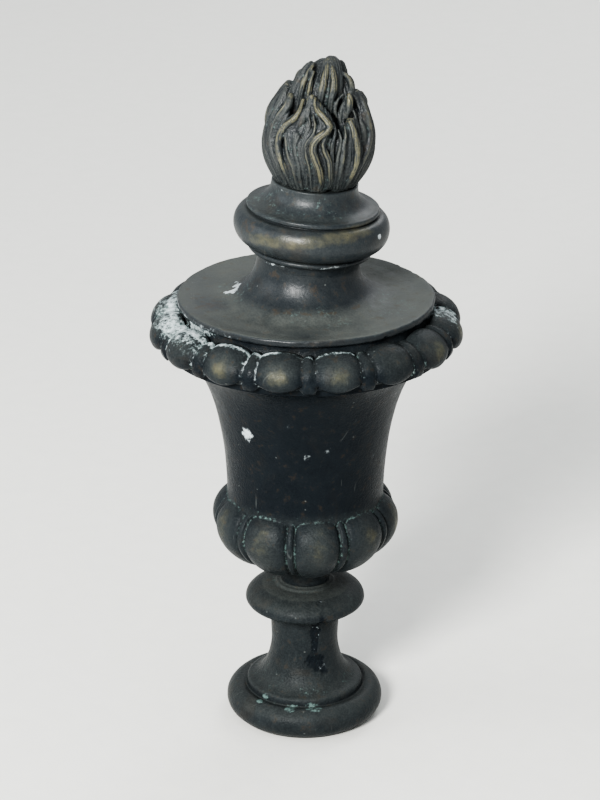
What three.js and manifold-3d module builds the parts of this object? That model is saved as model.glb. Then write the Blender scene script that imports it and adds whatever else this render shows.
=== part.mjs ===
// Urn gate finial: four bronze castings stacked on one axis, a foot, a gadrooned urn,
// a cover with a bent neck, and a flame. Millimetres, +Z up, origin under the middle of the foot.
import * as THREE from "three";
import { mergeVertices } from "three/addons/utils/BufferGeometryUtils.js";
import Module from "manifold-3d";

const wasm = await Module();
wasm.setup();

// Hairline joint between one casting and the next
const joint_gap = 0.3;

// Foot: a bullnose rim, a small step and a hollow sweep up to the stem
const foot_seat_radius = 45;
const foot_rim_radius = 50.5;
const foot_rim_section = 10;
const foot_step_radius = 37.6;
const foot_step_height = 5;
const foot_step_round = 1.2;
const stem_radius = 21.4;
const stem_sweep_height = 29.5;
const stem_head_radius = 22.3;
const stem_head_height = 19.5;

// Knop on the stem, with a sharp edge below and a small ring on top
const knop_radius = 38.4;
const knop_edge = 0.9;
const knop_lower_deg = -45;
const knop_ring_edge = 0.8;
const knop_lower_height = 7.7;
const knop_upper_height = 10.6;
const knop_ring_radius = 18.8;
const knop_ring_height = 1.5;
const waist_radius = 15.8;
const waist_lower_height = 1.2;

// Urn bowl with its lower gadroons
const waist_upper_height = 10.5;
const bowl_foot_radius = 19.5;
const bowl_radius = 59.6;
const bowl_lower_depth = 36;
const bowl_upper_depth = 31;
const bowl_upper_height = 14;
const bowl_lobes = 10;
const bowl_lobe_depth = 3.8;
const bowl_lobe_share = 0.4;
const bowl_dart_share = 0.055;
const bowl_dart_depth = 2;
const bowl_lobe_turn = 8;

// Urn wall: one hollow curve from the bowl out to the rim
const wall_foot_radius = 49.6;
const wall_inset = 3;
const wall_height = 103.4;
const wall_head_radius = 87;
const wall_foot_pull = 45;
const wall_head_pull = 27;
const wall_head_drop = 3;
const rim_fillet_height = 4.8;
const rim_fillet_step = 1.2;

// Urn rim with its upper gadroons
const rim_radius = 98.2;
const rim_section_width = 18.2;
const rim_section_height = 15.2;
const rim_centre_height = 10.2;
const rim_lobe_start_deg = -32;
const rim_lobe_end_deg = 84;
const rim_lobes = 16;
const rim_lobe_depth = 5;
const rim_lobe_share = 0.4;
const rim_dart_share = 0.095;
const rim_dart_depth = 3;
const rim_lobe_turn = -10.2;
const rim_top_radius = 77;
const rim_top_height = 17;

// Cover: a thin dished plate with a neck
const plate_radius = 79.9;
const plate_thickness = 4.6;
const plate_lip = 3;
const plate_dish = 0.8;
const neck_foot_radius = 58;
const neck_radius = 31.8;
const neck_sweep_height = 23;
const neck_head_radius = 32.6;
const neck_head_height = 9;

// Ring moulding at the head of the neck, then a hollow sweep to the flame's collar
const under_fillet_radius = 36.6;
const under_fillet_height = 2.4;
const ring_foot_radius = 38.4;
const ring_radius = 48;
const ring_lower_height = 11.6;
const ring_upper_height = 9.6;
const ring_head_radius = 41.4;
const groove_radius = 39.4;
const groove_height = 1;
const disc_radius = 40.9;
const disc_height = 3.2;
const collar_radius = 26.6;
const collar_sweep_height = 13;
const collar_height = 1.6;

// The neck is bent, so all above the plate leans towards +X
const neck_lean_deg = 4;

// Flame: an outer crown of tongues round an inner bundle, both on a bud-shaped core
const flame_height = 79;
const flame_foot_radius = 24.8;
const flame_radius = 35;
const flame_belly_height = 24;
const flame_bundle_radius = 21.5;
const flame_core_inset = 3.4;

// Tongues of flame: where the bundle starts, how far the core reaches, and how it narrows to the
// bundle, all as shares of the flame's height
const bundle_start = 0.38;
const crown_start = -0.04;
const core_share = 0.94;
const core_narrows_from = 0.43;
const core_narrows_to = 0.68;

// How a gadroon is shaped: its width and height left at the head, and a dart's height there
const lobe_head_width = 0.82;
const dart_head_rise = 0.5;

// Fineness of the turned surfaces
const turned_sides = 30;

// Columns over one gadroon, as shares of the pitch from its middle to the next
const bowl_lobe_columns = [0, 0.2, 0.33, 0.42, 0.5, 0.58, 0.67, 0.8];
const rim_lobe_columns = [0, 0.24, 0.4, 0.5, 0.6, 0.76];

const at = (radius, height) => new THREE.Vector2(radius, height);
const radians = THREE.MathUtils.degToRad;
const smooth = THREE.MathUtils.smoothstep;

// A quarter ellipse between two points that leaves the first one level, along the radius
function levelQuarter(from, to, steps) {
  return Array.from({ length: steps + 1 }, (_, i) => {
    const turn = (i / steps) * (Math.PI / 2);
    const rise = 1 - Math.cos(turn);
    return at(from.x + (to.x - from.x) * Math.sin(turn), from.y + (to.y - from.y) * rise);
  });
}

// A quarter ellipse between two points that leaves the first one upright
function uprightQuarter(from, to, steps) {
  return levelQuarter(to, from, steps).reverse();
}

// A stretch of ellipse that ends upright at `to`, and starts at `from`, an angle below level
function bulgeUp(from, to, fromDeg, steps) {
  const across = (to.x - from.x) / (1 - Math.cos(radians(fromDeg)));
  const along = (from.y - to.y) / Math.sin(radians(fromDeg));
  return arc(at(to.x - across, to.y), across, along, fromDeg, 0, steps);
}

// A stretch of an ellipse round a centre, between two angles from level
function arc(centre, across, along, fromDeg, toDeg, steps) {
  return Array.from({ length: steps + 1 }, (_, i) => {
    const turn = radians(fromDeg + ((toDeg - fromDeg) * i) / steps);
    return at(centre.x + across * Math.cos(turn), centre.y + along * Math.sin(turn));
  });
}

// Joins vertices that lie together, so that a surface is closed
function weld(geometry) {
  geometry.deleteAttribute("normal");
  geometry.deleteAttribute("uv");
  return mergeVertices(geometry, 1e-4);
}

// Turns a profile of radius and height round the upright axis
function turned(profile, sides = turned_sides) {
  return weld(new THREE.LatheGeometry(profile, sides).rotateX(Math.PI / 2));
}

function toSolid(geometry) {
  const welded = weld(geometry);
  const vertProperties = new Float32Array(welded.attributes.position.array);
  const triVerts = new Uint32Array(welded.index.array);
  return new wasm.Manifold(new wasm.Mesh({ numProp: 3, vertProperties, triVerts }));
}

function fromSolid(solid) {
  const mesh = solid.getMesh();
  const geometry = new THREE.BufferGeometry();
  geometry.setAttribute("position", new THREE.BufferAttribute(mesh.vertProperties, 3));
  geometry.setIndex(new THREE.BufferAttribute(mesh.triVerts, 1));
  return geometry;
}

function joined(geometries) {
  return fromSolid(geometries.map(toSolid).reduce((sum, next) => sum.add(next)));
}

// How far a gadroon stands above its ground. `along` runs from its foot, 0, to its head, 1, and
// `across` is the distance from its middle as a share of the pitch, up to 0.5 at the dart.
function gadroonHeight(along, across, lobe) {
  const footRound = Math.sqrt(1 - (1 - Math.min(1, along / lobe.footShare)) ** 2);
  const headRound = Math.sqrt(1 - Math.max(0, (along - lobe.headShare) / (1 - lobe.headShare)) ** 2);
  const halfWidth = lobe.share * footRound * (lobe_head_width + (1 - lobe_head_width) * headRound);
  const crown = Math.sqrt(Math.max(0, 1 - (across / Math.max(halfWidth, 1e-6)) ** 2));
  const fullness = lobe.headRise + (1 - lobe.headRise) * headRound;
  const lobeHeight = lobe.depth * Math.sqrt(footRound) * fullness * crown;
  const dartWidth = lobe.dartShare * (1 + lobe.dartFlare * (1 - along));
  const dart = Math.sqrt(Math.max(0, 1 - ((0.5 - across) / dartWidth) ** 2));
  const dartRise = dart_head_rise + (1 - dart_head_rise) * headRound;
  return Math.max(lobeHeight, lobe.dartDepth * dart * dartRise);
}

// Turns a crown profile into a closed ring of gadroons, with a flat disc at each end
function gadrooned(crown, lobe) {
  const normals = crown.map((_, i) => {
    const before = crown[Math.max(0, i - 1)];
    const run = crown[Math.min(crown.length - 1, i + 1)].clone().sub(before).normalize();
    return at(run.y, -run.x);
  });
  const ground = crown.map((point, i) => point.clone().addScaledVector(normals[i], -lobe.depth));
  const profile = [at(0, ground[0].y), ...ground, at(0, ground.at(-1).y)];
  const sides = lobe.count * lobe.columns.length;
  const geometry = new THREE.LatheGeometry(profile, sides);
  for (let side = 0; side <= sides; side += 1) {
    const share = lobe.columns[side % lobe.columns.length];
    const lobeIndex = Math.floor(side / lobe.columns.length);
    const turn = ((lobeIndex + share) / lobe.count) * 2 * Math.PI + radians(lobe.turn);
    ground.forEach((point, i) => {
      const height = gadroonHeight(i / (ground.length - 1), Math.min(share, 1 - share), lobe);
      const raised = point.clone().addScaledVector(normals[i], height);
      const index = side * profile.length + i + 1;
      const [across, forward] = [raised.x * Math.sin(turn), raised.x * Math.cos(turn)];
      geometry.attributes.position.setXYZ(index, across, raised.y, forward);
    });
  }
  return weld(geometry.rotateX(Math.PI / 2));
}

// Foot casting, from its seat up to the ring on the knop
const rim_top = 2 * foot_rim_section;
const step_foot = rim_top - 1;
const step_top = step_foot + foot_step_height;
const stem_waist = step_top + stem_sweep_height;
const knop_base = stem_waist + stem_head_height;
const knop_middle = knop_base + knop_lower_height;
const knop_top = knop_middle + knop_upper_height;
const foot_top = knop_top + knop_ring_height + waist_lower_height;

function footProfile() {
  const rimCentre = at(foot_rim_radius - foot_rim_section, foot_rim_section);
  const stepEdge = at(foot_step_radius - foot_step_round, step_top);
  const knopFoot = at(stem_head_radius + knop_edge, knop_base);
  const knopSide = at(knop_radius, knop_middle);
  return [
    at(0, 0),
    at(foot_seat_radius, 0),
    ...arc(rimCentre, foot_rim_section, foot_rim_section, -62, 80, 5),
    at(foot_step_radius, step_foot),
    at(foot_step_radius - 0.3, step_top - foot_step_round),
    ...levelQuarter(stepEdge, at(stem_radius, stem_waist), 5),
    at(stem_head_radius, knop_base),
    ...bulgeUp(knopFoot, knopSide, knop_lower_deg, 3),
    ...uprightQuarter(knopSide, at(knop_ring_radius + knop_ring_edge, knop_top), 3).slice(1),
    at(knop_ring_radius, knop_top + knop_ring_height),
    at(waist_radius, knop_top + knop_ring_height),
    at(waist_radius, foot_top),
    at(0, foot_top),
  ];
}

// Urn casting: waist, bowl, wall and rim
const urn_base = foot_top + joint_gap;
const bowl_base = urn_base + waist_upper_height;
const bowl_start_deg = -THREE.MathUtils.radToDeg(Math.acos(bowl_foot_radius / bowl_radius));
const bowl_middle = bowl_base - bowl_lower_depth * Math.sin(radians(bowl_start_deg));
const bowl_end_deg = THREE.MathUtils.radToDeg(Math.acos((wall_foot_radius - wall_inset) / bowl_radius));
const wall_base = bowl_middle + bowl_upper_height;
const wall_top = wall_base + wall_height;
const rim_centre = wall_top + rim_centre_height;
const urn_top = rim_centre + rim_top_height;

function urnCore() {
  const wall = new THREE.CubicBezierCurve(
    at(wall_foot_radius, wall_base),
    at(wall_foot_radius, wall_base + wall_foot_pull),
    at(wall_head_radius - wall_head_pull, wall_top - wall_head_drop),
    at(wall_head_radius, wall_top),
  );
  const fillet = wall_head_radius + rim_fillet_step;
  return turned([
    at(0, urn_base),
    at(waist_radius, urn_base),
    at(waist_radius, bowl_base + bowl_lobe_depth),
    at(wall_foot_radius - bowl_lobe_depth, bowl_middle),
    ...wall.getPoints(7),
    at(fillet, wall_top),
    at(fillet, wall_top + rim_fillet_height),
    at(rim_top_radius, rim_centre),
    at(rim_top_radius, urn_top),
    at(0, urn_top),
  ]);
}

function bowlGadroons() {
  const lower = arc(at(0, bowl_middle), bowl_radius, bowl_lower_depth, bowl_start_deg, 0, 4);
  const upper = arc(at(0, bowl_middle), bowl_radius, bowl_upper_depth, 0, bowl_end_deg, 3).slice(1);
  return gadrooned(lower.concat(upper), {
    count: bowl_lobes,
    columns: bowl_lobe_columns,
    turn: bowl_lobe_turn,
    depth: bowl_lobe_depth,
    share: bowl_lobe_share,
    footShare: 0.3,
    headShare: 0.8,
    headRise: 0.45,
    dartShare: bowl_dart_share,
    dartFlare: 0.3,
    dartDepth: bowl_dart_depth,
  });
}

function rimGadroons() {
  const centre = at(rim_radius - rim_section_width, rim_centre);
  const [from, to] = [rim_lobe_start_deg, rim_lobe_end_deg];
  const crown = arc(centre, rim_section_width, rim_section_height, from, to, 6);
  return gadrooned(crown, {
    count: rim_lobes,
    columns: rim_lobe_columns,
    turn: rim_lobe_turn,
    depth: rim_lobe_depth,
    share: rim_lobe_share,
    footShare: 0.3,
    headShare: 0.92,
    headRise: 0.75,
    dartShare: rim_dart_share,
    dartFlare: 0.35,
    dartDepth: rim_dart_depth,
  });
}

// Cover casting: plate, neck, ring moulding and collar
const plate_base = urn_top + joint_gap;
const plate_top = plate_base + plate_thickness;
const neck_top = plate_top + neck_sweep_height + neck_head_height;
const ring_base = neck_top + under_fillet_height;
const ring_middle = ring_base + ring_lower_height;
const ring_top = ring_middle + ring_upper_height;
const disc_base = ring_top + groove_height;
const disc_top = disc_base + disc_height;
const collar_base = disc_top + collar_sweep_height;
const cover_top = collar_base + collar_height;

function coverProfile() {
  const neckFoot = at(neck_foot_radius, plate_top - plate_dish);
  return [
    at(0, plate_base),
    at(plate_radius - 0.6, plate_base),
    at(plate_radius, plate_base + 0.6),
    at(plate_radius - 0.6, plate_top - 0.4),
    at(plate_radius - 1.4, plate_top),
    at(plate_radius - plate_lip, plate_top),
    at((plate_radius + neck_foot_radius) / 2, plate_top - plate_dish),
    ...levelQuarter(neckFoot, at(neck_radius, plate_top + neck_sweep_height), 5),
    at(neck_head_radius, neck_top),
    at(under_fillet_radius, neck_top + 0.3),
    at(under_fillet_radius, ring_base),
    ...levelQuarter(at(ring_foot_radius, ring_base), at(ring_radius, ring_middle), 3),
    ...uprightQuarter(at(ring_radius, ring_middle), at(ring_head_radius, ring_top), 3).slice(1),
    at(groove_radius, ring_top),
    at(groove_radius, disc_base),
    at(disc_radius, disc_base),
    at(disc_radius, disc_top - 0.6),
    ...levelQuarter(at(disc_radius - 1, disc_top), at(collar_radius, collar_base), 4),
    at(collar_radius, cover_top),
    at(0, cover_top),
  ];
}

// Bends a shape towards +X above the plate: no lean at the plate, all of it from the neck's head up
function bent(geometry) {
  const place = geometry.attributes.position;
  const point = new THREE.Vector3();
  const tilt = new THREE.Matrix4();
  for (let i = 0; i < place.count; i += 1) {
    point.fromBufferAttribute(place, i);
    tilt.makeRotationY(radians(neck_lean_deg) * smooth(point.z, plate_top, neck_top));
    point.z -= plate_top;
    point.applyMatrix4(tilt);
    place.setXYZ(i, point.x, point.y, point.z + plate_top);
  }
  return geometry;
}

// Outer surface of the crown of tongues, and of the inner bundle, at a height above the collar
function crownRadius(height) {
  const belly = flame_belly_height;
  const above = Math.max(0, (height - belly) / (flame_height - belly));
  const below = Math.sin((Math.PI / 2) * Math.min(1, Math.max(0, height / belly)));
  return height < belly
    ? flame_foot_radius + (flame_radius - flame_foot_radius) * below
    : flame_radius * (1 - above ** 2.5);
}

function bundleRadius(height) {
  return flame_bundle_radius * (1 - Math.min(1, height / flame_height) ** 7);
}

// A tongue of flame. `turn` and `tip` are its directions at foot and tip, in degrees from the
// front towards +X. `rise` is a share of the flame's height, `width` and `depth` of its radius.
// It sways as it rises, and `phase` says where its bends lie.
function tongue(values, radiusAt, start) {
  const { turn, tip, rise, sway, phase } = values;
  const width = values.width * flame_radius;
  const depth = values.depth * flame_radius;
  const steps = 7;
  const middle = (t) => {
    const height = flame_height * (start + (rise - start) * t);
    const swing = sway * t * Math.cos(2 * Math.PI * (2 * t - phase));
    const direction = radians(turn + (tip - turn) * t + swing);
    const radius = radiusAt(height) - depth * 0.8;
    return new THREE.Vector3(radius * Math.sin(direction), -radius * Math.cos(direction), height);
  };
  const section = [[1, 0], [0.2, 1], [-0.6, 0.7], [-1, 0], [0, -0.8]];
  const vertices = [];
  for (let step = 0; step <= steps; step += 1) {
    const t = step / steps;
    const place = middle(t);
    const along = middle(t + 0.01).sub(middle(t - 0.01)).normalize();
    const out = new THREE.Vector3(place.x, place.y, 0).normalize();
    out.addScaledVector(along, -out.dot(along)).normalize();
    const side = along.clone().cross(out);
    const belly = 0.7 + 0.3 * Math.sin(Math.PI * Math.min(1, 1.25 * t));
    const swell = belly * Math.sqrt(1 - (0.97 * t) ** 4);
    section.forEach(([across, outward]) => {
      const point = place.clone();
      point.addScaledVector(side, across * width * swell);
      point.addScaledVector(out, outward * depth * (0.35 + 0.65 * swell));
      vertices.push(point.x, point.y, point.z);
    });
  }
  const count = section.length;
  const faces = [];
  for (let step = 0; step < steps; step += 1) {
    for (let i = 0; i < count; i += 1) {
      const a = step * count + i;
      const b = step * count + ((i + 1) % count);
      faces.push(a, b + count, b, a, a + count, b + count);
    }
  }
  const last = steps * count;
  for (let i = 1; i < count - 1; i += 1) {
    faces.push(0, i, i + 1, last, last + i + 1, last + i);
  }
  const geometry = new THREE.BufferGeometry();
  geometry.setAttribute("position", new THREE.Float32BufferAttribute(vertices, 3));
  geometry.setIndex(faces);
  return geometry;
}

// Crown tongues, named by where they stand
const crown_tongues = [
  { turn: -76, tip: -68, rise: 0.722, width: 0.3, depth: 0.143, sway: 3, phase: 0.3 },
  { turn: -52, tip: -55, rise: 0.722, width: 0.2, depth: 0.114, sway: 4, phase: 0.7 },
  { turn: -26, tip: -28, rise: 0.722, width: 0.229, depth: 0.143, sway: -12, phase: 0.36 },
  { turn: 4, tip: -7, rise: 0.741, width: 0.243, depth: 0.154, sway: 12, phase: 0.54 },
  { turn: 42, tip: 39, rise: 0.595, width: 0.271, depth: 0.137, sway: 3, phase: 0.1 },
  { turn: 84, tip: 76, rise: 0.753, width: 0.3, depth: 0.143, sway: 3, phase: 0.8 },
  { turn: 124, tip: 118, rise: 0.684, width: 0.286, depth: 0.143, sway: 7, phase: 0.5 },
  { turn: 164, tip: 160, rise: 0.734, width: 0.286, depth: 0.143, sway: 8, phase: 0.1 },
  { turn: 204, tip: 200, rise: 0.658, width: 0.286, depth: 0.143, sway: 8, phase: 0.6 },
  { turn: 243, tip: 241, rise: 0.722, width: 0.286, depth: 0.143, sway: 7, phase: 0.2 },
];

// Bundle tongues, which rise inside the crown
const bundle_tongues = [
  { turn: -72, tip: -62, rise: 0.962, width: 0.2, depth: 0.126, sway: 4, phase: 0.2 },
  { turn: -16, tip: -4, rise: 0.975, width: 0.186, depth: 0.126, sway: 4, phase: 0.7 },
  { turn: 28, tip: 24, rise: 1, width: 0.171, depth: 0.12, sway: 4, phase: 0.3 },
  { turn: 66, tip: 58, rise: 0.949, width: 0.214, depth: 0.131, sway: 5, phase: 0.5 },
  { turn: 120, tip: 120, rise: 0.924, width: 0.214, depth: 0.126, sway: 6, phase: 0.5 },
  { turn: 180, tip: 178, rise: 0.962, width: 0.214, depth: 0.126, sway: 6, phase: 0.2 },
  { turn: 240, tip: 238, rise: 0.937, width: 0.214, depth: 0.126, sway: 6, phase: 0.8 },
];

function flameCore() {
  const profile = [at(0, 0)];
  for (let i = 0; i < 10; i += 1) {
    const height = flame_height * core_share * (i / 10);
    const share = smooth(height / flame_height, core_narrows_from, core_narrows_to);
    const outer = crownRadius(height) - flame_core_inset;
    const inner = bundleRadius(height) - flame_core_inset * 0.7;
    profile.push(at(outer + (inner - outer) * share, height));
  }
  profile.push(at(0, flame_height * core_share));
  return turned(profile, 16);
}

function flameSolid() {
  const crown = crown_tongues.map((values) => tongue(values, crownRadius, crown_start));
  const bundle = bundle_tongues.map((values) => tongue(values, bundleRadius, bundle_start));
  const whole = [flameCore(), ...crown, ...bundle].map(toSolid);
  const block = 4 * flame_radius;
  const below = new THREE.BoxGeometry(block, block, block).translate(0, 0, -block / 2);
  const bodies = whole.reduce((sum, next) => sum.add(next)).subtract(toSolid(below)).decompose();
  return fromSolid(bodies.reduce((outer, next) => (next.volume() > outer.volume() ? next : outer)));
}

const finial = new THREE.Group();

function addCasting(name, geometry, colour, roughness, parent = finial) {
  const material = new THREE.MeshStandardMaterial({ color: colour, roughness, metalness: 0.6 });
  const mesh = new THREE.Mesh(geometry, material);
  mesh.name = name;
  parent.add(mesh);
  return mesh;
}

addCasting("foot", turned(footProfile()), 0x2b3136, 0.55);
addCasting("urn", joined([urnCore(), bowlGadroons(), rimGadroons()]), 0x1f242a, 0.5);
addCasting("cover", bent(turned(coverProfile())), 0x34383a, 0.55);

const leaning = new THREE.Group();
leaning.position.z = plate_top;
leaning.rotation.y = radians(neck_lean_deg);
finial.add(leaning);
const flame = addCasting("flame", flameSolid(), 0x3a3d38, 0.5, leaning);
flame.position.z = cover_top + joint_gap - plate_top;

export default finial;
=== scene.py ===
"""Urn gate finial: four weathered bronze castings with their gadroons, flame and deposits.

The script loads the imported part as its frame, makes each casting's fine surface over the
part's own solid, and sets it on a pale floor in soft light. Shapes are worked out in millimetres.
"""

import math
from types import SimpleNamespace

import bpy
import numpy as np
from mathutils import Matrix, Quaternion, Vector
from mathutils.kdtree import KDTree


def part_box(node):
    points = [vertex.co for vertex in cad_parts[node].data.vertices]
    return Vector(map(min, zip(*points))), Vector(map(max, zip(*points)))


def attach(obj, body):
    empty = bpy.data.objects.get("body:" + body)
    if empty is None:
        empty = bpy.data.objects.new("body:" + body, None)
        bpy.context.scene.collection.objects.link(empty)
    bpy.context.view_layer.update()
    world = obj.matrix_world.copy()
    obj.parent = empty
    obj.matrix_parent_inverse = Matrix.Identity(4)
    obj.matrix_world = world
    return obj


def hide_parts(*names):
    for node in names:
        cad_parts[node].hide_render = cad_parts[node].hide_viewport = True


bl_info = {
    "name": "Urn gate finial",
    "version": (1, 0, 0),
    "blender": (4, 5, 0),
    "location": "View3D > Sidebar > Finial",
    "description": "Makes a weathered bronze urn finial with a flame",
    "category": "Add Mesh",
}

MM = 0.001
BODY = "root"

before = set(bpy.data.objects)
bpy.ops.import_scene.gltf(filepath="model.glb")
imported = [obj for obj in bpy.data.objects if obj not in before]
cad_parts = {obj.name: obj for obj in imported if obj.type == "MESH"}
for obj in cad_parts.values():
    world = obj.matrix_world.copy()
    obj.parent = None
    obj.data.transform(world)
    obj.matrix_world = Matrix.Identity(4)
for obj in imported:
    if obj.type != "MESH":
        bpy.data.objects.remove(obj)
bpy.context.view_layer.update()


def base_of(node):
    """Height of the underside of a casting, in millimetres."""
    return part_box(node)[0][2] / MM


def length(name, description, millimetres):
    """A size property, given in millimetres."""
    return bpy.props.FloatProperty(
        name=name, description=description, default=millimetres * MM, unit="LENGTH", precision=4
    )


def share(name, description, default):
    """A property without a unit, such as a share of a pitch or a mask's strength."""
    return bpy.props.FloatProperty(name=name, description=description, default=default)


def angle(name, description, degrees):
    """An angle property, given in degrees."""
    return bpy.props.FloatProperty(
        name=name, description=description, default=math.radians(degrees), subtype="ANGLE"
    )


def colour(name, description, default):
    """A colour property."""
    return bpy.props.FloatVectorProperty(
        name=name, description=description, default=default, subtype="COLOR", size=3, min=0, max=1
    )


class FootSizes(bpy.types.PropertyGroup):
    """Sizes of the foot and its knop."""

    seat_radius: length("Seat radius", "Flat ring that the finial stands on", 45)
    rim_radius: length("Rim radius", "Outermost radius of the bullnose", 50.5)
    rim_section: length("Rim section", "Half the bullnose's height", 10)
    step_radius: length("Step radius", "Small step above the bullnose", 37.6)
    step_height: length("Step height", "Height of that step", 5)
    stem_radius: length("Stem radius", "Narrowest part of the stem", 21.4)
    stem_sweep: length("Stem sweep", "Height of the hollow up to the stem", 29.5)
    stem_head_radius: length("Stem head radius", "Stem under the knop", 22.3)
    stem_head_height: length("Stem head height", "Stem above its narrowest part", 19.5)
    knop_radius: length("Knop radius", "Widest part of the knop", 38.4)
    knop_lower: length("Knop lower height", "Knop below its widest part", 7.7)
    knop_upper: length("Knop upper height", "Knop above its widest part", 10.6)
    knop_ring_radius: length("Knop ring radius", "Small ring on top of the knop", 18.8)
    waist_radius: length("Waist radius", "Neck between knop and bowl", 15.8)


class UrnSizes(bpy.types.PropertyGroup):
    """Sizes of the urn and its two rows of gadroons."""

    waist_radius: length("Waist radius", "Neck under the bowl", 15.8)
    waist_height: length("Waist height", "Height of that neck", 10.5)
    bowl_foot_radius: length("Bowl foot radius", "Where the bowl leaves the waist", 19.5)
    bowl_radius: length("Bowl radius", "Bowl over its gadroons", 59.6)
    bowl_lower_depth: length("Bowl lower depth", "Curve of the bowl below its middle", 36)
    bowl_upper_depth: length("Bowl upper depth", "Curve of the bowl above its middle", 31)
    bowl_upper_height: length("Bowl upper height", "From the bowl's middle to the wall", 14)
    wall_foot_radius: length("Wall foot radius", "Wall where it leaves the bowl", 49.6)
    wall_head_radius: length("Wall head radius", "Wall under the rim", 87)
    wall_height: length("Wall height", "Height of the hollow wall", 103.4)
    rim_radius: length("Rim radius", "Rim over its gadroons", 98.2)
    rim_width: length("Rim width", "Half width of the rim's section", 18.2)
    rim_height: length("Rim height", "Half height of the rim's section", 15.2)
    rim_centre: length("Rim centre", "Middle of that section above the wall", 10.2)
    rim_top_radius: length("Rim top radius", "Seat of the cover", 77)
    rim_top_height: length("Rim top height", "Seat above the rim's middle", 17)


class CoverSizes(bpy.types.PropertyGroup):
    """Sizes of the cover with its bent neck and moulding."""

    plate_radius: length("Plate radius", "Thin plate that closes the urn", 79.9)
    plate_thickness: length("Plate thickness", "Its thickness at the lip", 4.6)
    plate_dish: length("Plate dish", "How far it is dished inside the lip", 0.8)
    neck_foot_radius: length("Neck foot radius", "Where the neck leaves the plate", 58)
    neck_radius: length("Neck radius", "Narrowest part of the neck", 31.8)
    neck_sweep: length("Neck sweep", "Height of the hollow up to the neck", 23)
    neck_head_radius: length("Neck head radius", "Neck under the moulding", 32.6)
    neck_head_height: length("Neck head height", "Neck above its narrowest part", 9)
    ring_radius: length("Ring radius", "Widest part of the moulding", 48)
    disc_radius: length("Disc radius", "Thin disc above the moulding", 40.9)
    collar_radius: length("Collar radius", "Collar that the flame stands on", 26.6)
    lean: angle("Lean", "How far the bent neck leans to the right", 4)


class FlameSizes(bpy.types.PropertyGroup):
    """Sizes of the flame."""

    height: length("Flame height", "From the collar to the top", 79)
    foot_radius: length("Foot radius", "Flame at the collar", 24.8)
    radius: length("Belly radius", "Outer tongues at their widest", 35)
    belly_height: length("Belly height", "Height of the widest part", 24)
    bundle_radius: length("Bundle radius", "Inner tongues", 21.5)
    voxel: length("Grain", "Fineness of the modelled surface", 0.45)
    strand_radius: length("Strand radius", "Half width of one strand of flame", 1.5)
    kept: share("Kept faces", "Share of the modelled faces that are kept", 0.57)


class BronzeColours(bpy.types.PropertyGroup):
    """Colours of the patina and of what lies on it."""

    dark: colour("Dark patina", "Blue-black skin of the body", (0.008, 0.011, 0.0145))
    slate: colour("Slate patina", "Paler cloud in the dark skin", (0.020, 0.026, 0.031))
    # Olive is laid on upward faces as dust and painted top light
    olive: colour("Olive patina", "Grey-olive skin of the cover", (0.096, 0.104, 0.096))
    lead: colour("Lead patina", "Darker ground of the cover", (0.052, 0.060, 0.062))
    brown: colour("Brown patina", "Warm patches", (0.060, 0.040, 0.022))
    rubbed: colour("Rubbed bronze", "Olive-gold metal on the crests", (0.205, 0.190, 0.112))
    chalk: colour("Chalk", "White crust in the joints", (0.55, 0.61, 0.63))
    verdigris: colour("Verdigris", "Blue-green deposit in the hollows", (0.17, 0.25, 0.235))
    floor: colour("Floor", "Pale floor", (0.84, 0.84, 0.80))


def in_mm(sizes):
    """The lengths of a group as plain numbers in millimetres."""
    found = {}
    for item in sizes.bl_rna.properties:
        if item.type == "FLOAT" and getattr(item, "unit", "") == "LENGTH":
            found[item.identifier] = getattr(sizes, item.identifier) / MM
    return SimpleNamespace(**found)


def line(start, end, steps):
    """Points of a straight stretch of profile, as radius and height."""
    return np.linspace(start, end, steps + 1)


def ellipse(centre, across, along, from_deg, to_deg, steps):
    """Points of a stretch of ellipse round a centre."""
    turn = np.radians(np.linspace(from_deg, to_deg, steps + 1))
    return np.column_stack([centre[0] + across * np.cos(turn), centre[1] + along * np.sin(turn)])


def level_quarter(start, end, steps):
    """A quarter ellipse that leaves its start level, along the radius."""
    turn = np.linspace(0, math.pi / 2, steps + 1)
    return np.column_stack(
        [
            start[0] + (end[0] - start[0]) * np.sin(turn),
            start[1] + (end[1] - start[1]) * (1 - np.cos(turn)),
        ]
    )


def upright_quarter(start, end, steps):
    """A quarter ellipse that leaves its start upright."""
    return level_quarter(end, start, steps)[::-1]


def bulge_up(start, end, from_deg, steps):
    """A stretch of ellipse that starts at an angle below level and ends upright."""
    turn = math.radians(from_deg)
    across = (end[0] - start[0]) / (1 - math.cos(turn))
    along = (start[1] - end[1]) / math.sin(turn)
    return ellipse((end[0] - across, end[1]), across, along, from_deg, 0, steps)


def respaced(profile, spacing, rounds=2):
    """The same profile in even steps, its corners softened as a casting's are."""
    run = np.concatenate([[0], np.cumsum(np.linalg.norm(np.diff(profile, axis=0), axis=1))])
    steps = np.linspace(0, run[-1], int(run[-1] / spacing) + 1)
    even = np.column_stack([np.interp(steps, run, profile[:, k]) for k in (0, 1)])
    for _ in range(rounds):
        even[1:-1] = even[:-2] * 0.25 + even[1:-1] * 0.5 + even[2:] * 0.25
    return even


def smooth(value, low, high):
    """0 below low, 1 above high, and a smooth rise between them."""
    t = np.clip((value - low) / (high - low), 0, 1)
    return t * t * (3 - 2 * t)


def noise(points, cell, seed):
    """Smooth noise from -1 to 1 over points, with bumps one cell wide."""
    grid = np.random.default_rng(seed).uniform(-1, 1, (24, 24, 24))
    place = points / cell
    low = np.floor(place).astype(int)
    t = place - low
    t = t * t * (3 - 2 * t)
    total = np.zeros(len(points))
    for corner in np.ndindex(2, 2, 2):
        weight = np.prod(np.where(np.array(corner, bool), t, 1 - t), axis=1)
        x, y, z = ((low + corner) % 24).T
        total += weight * grid[x, y, z]
    return total


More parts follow.
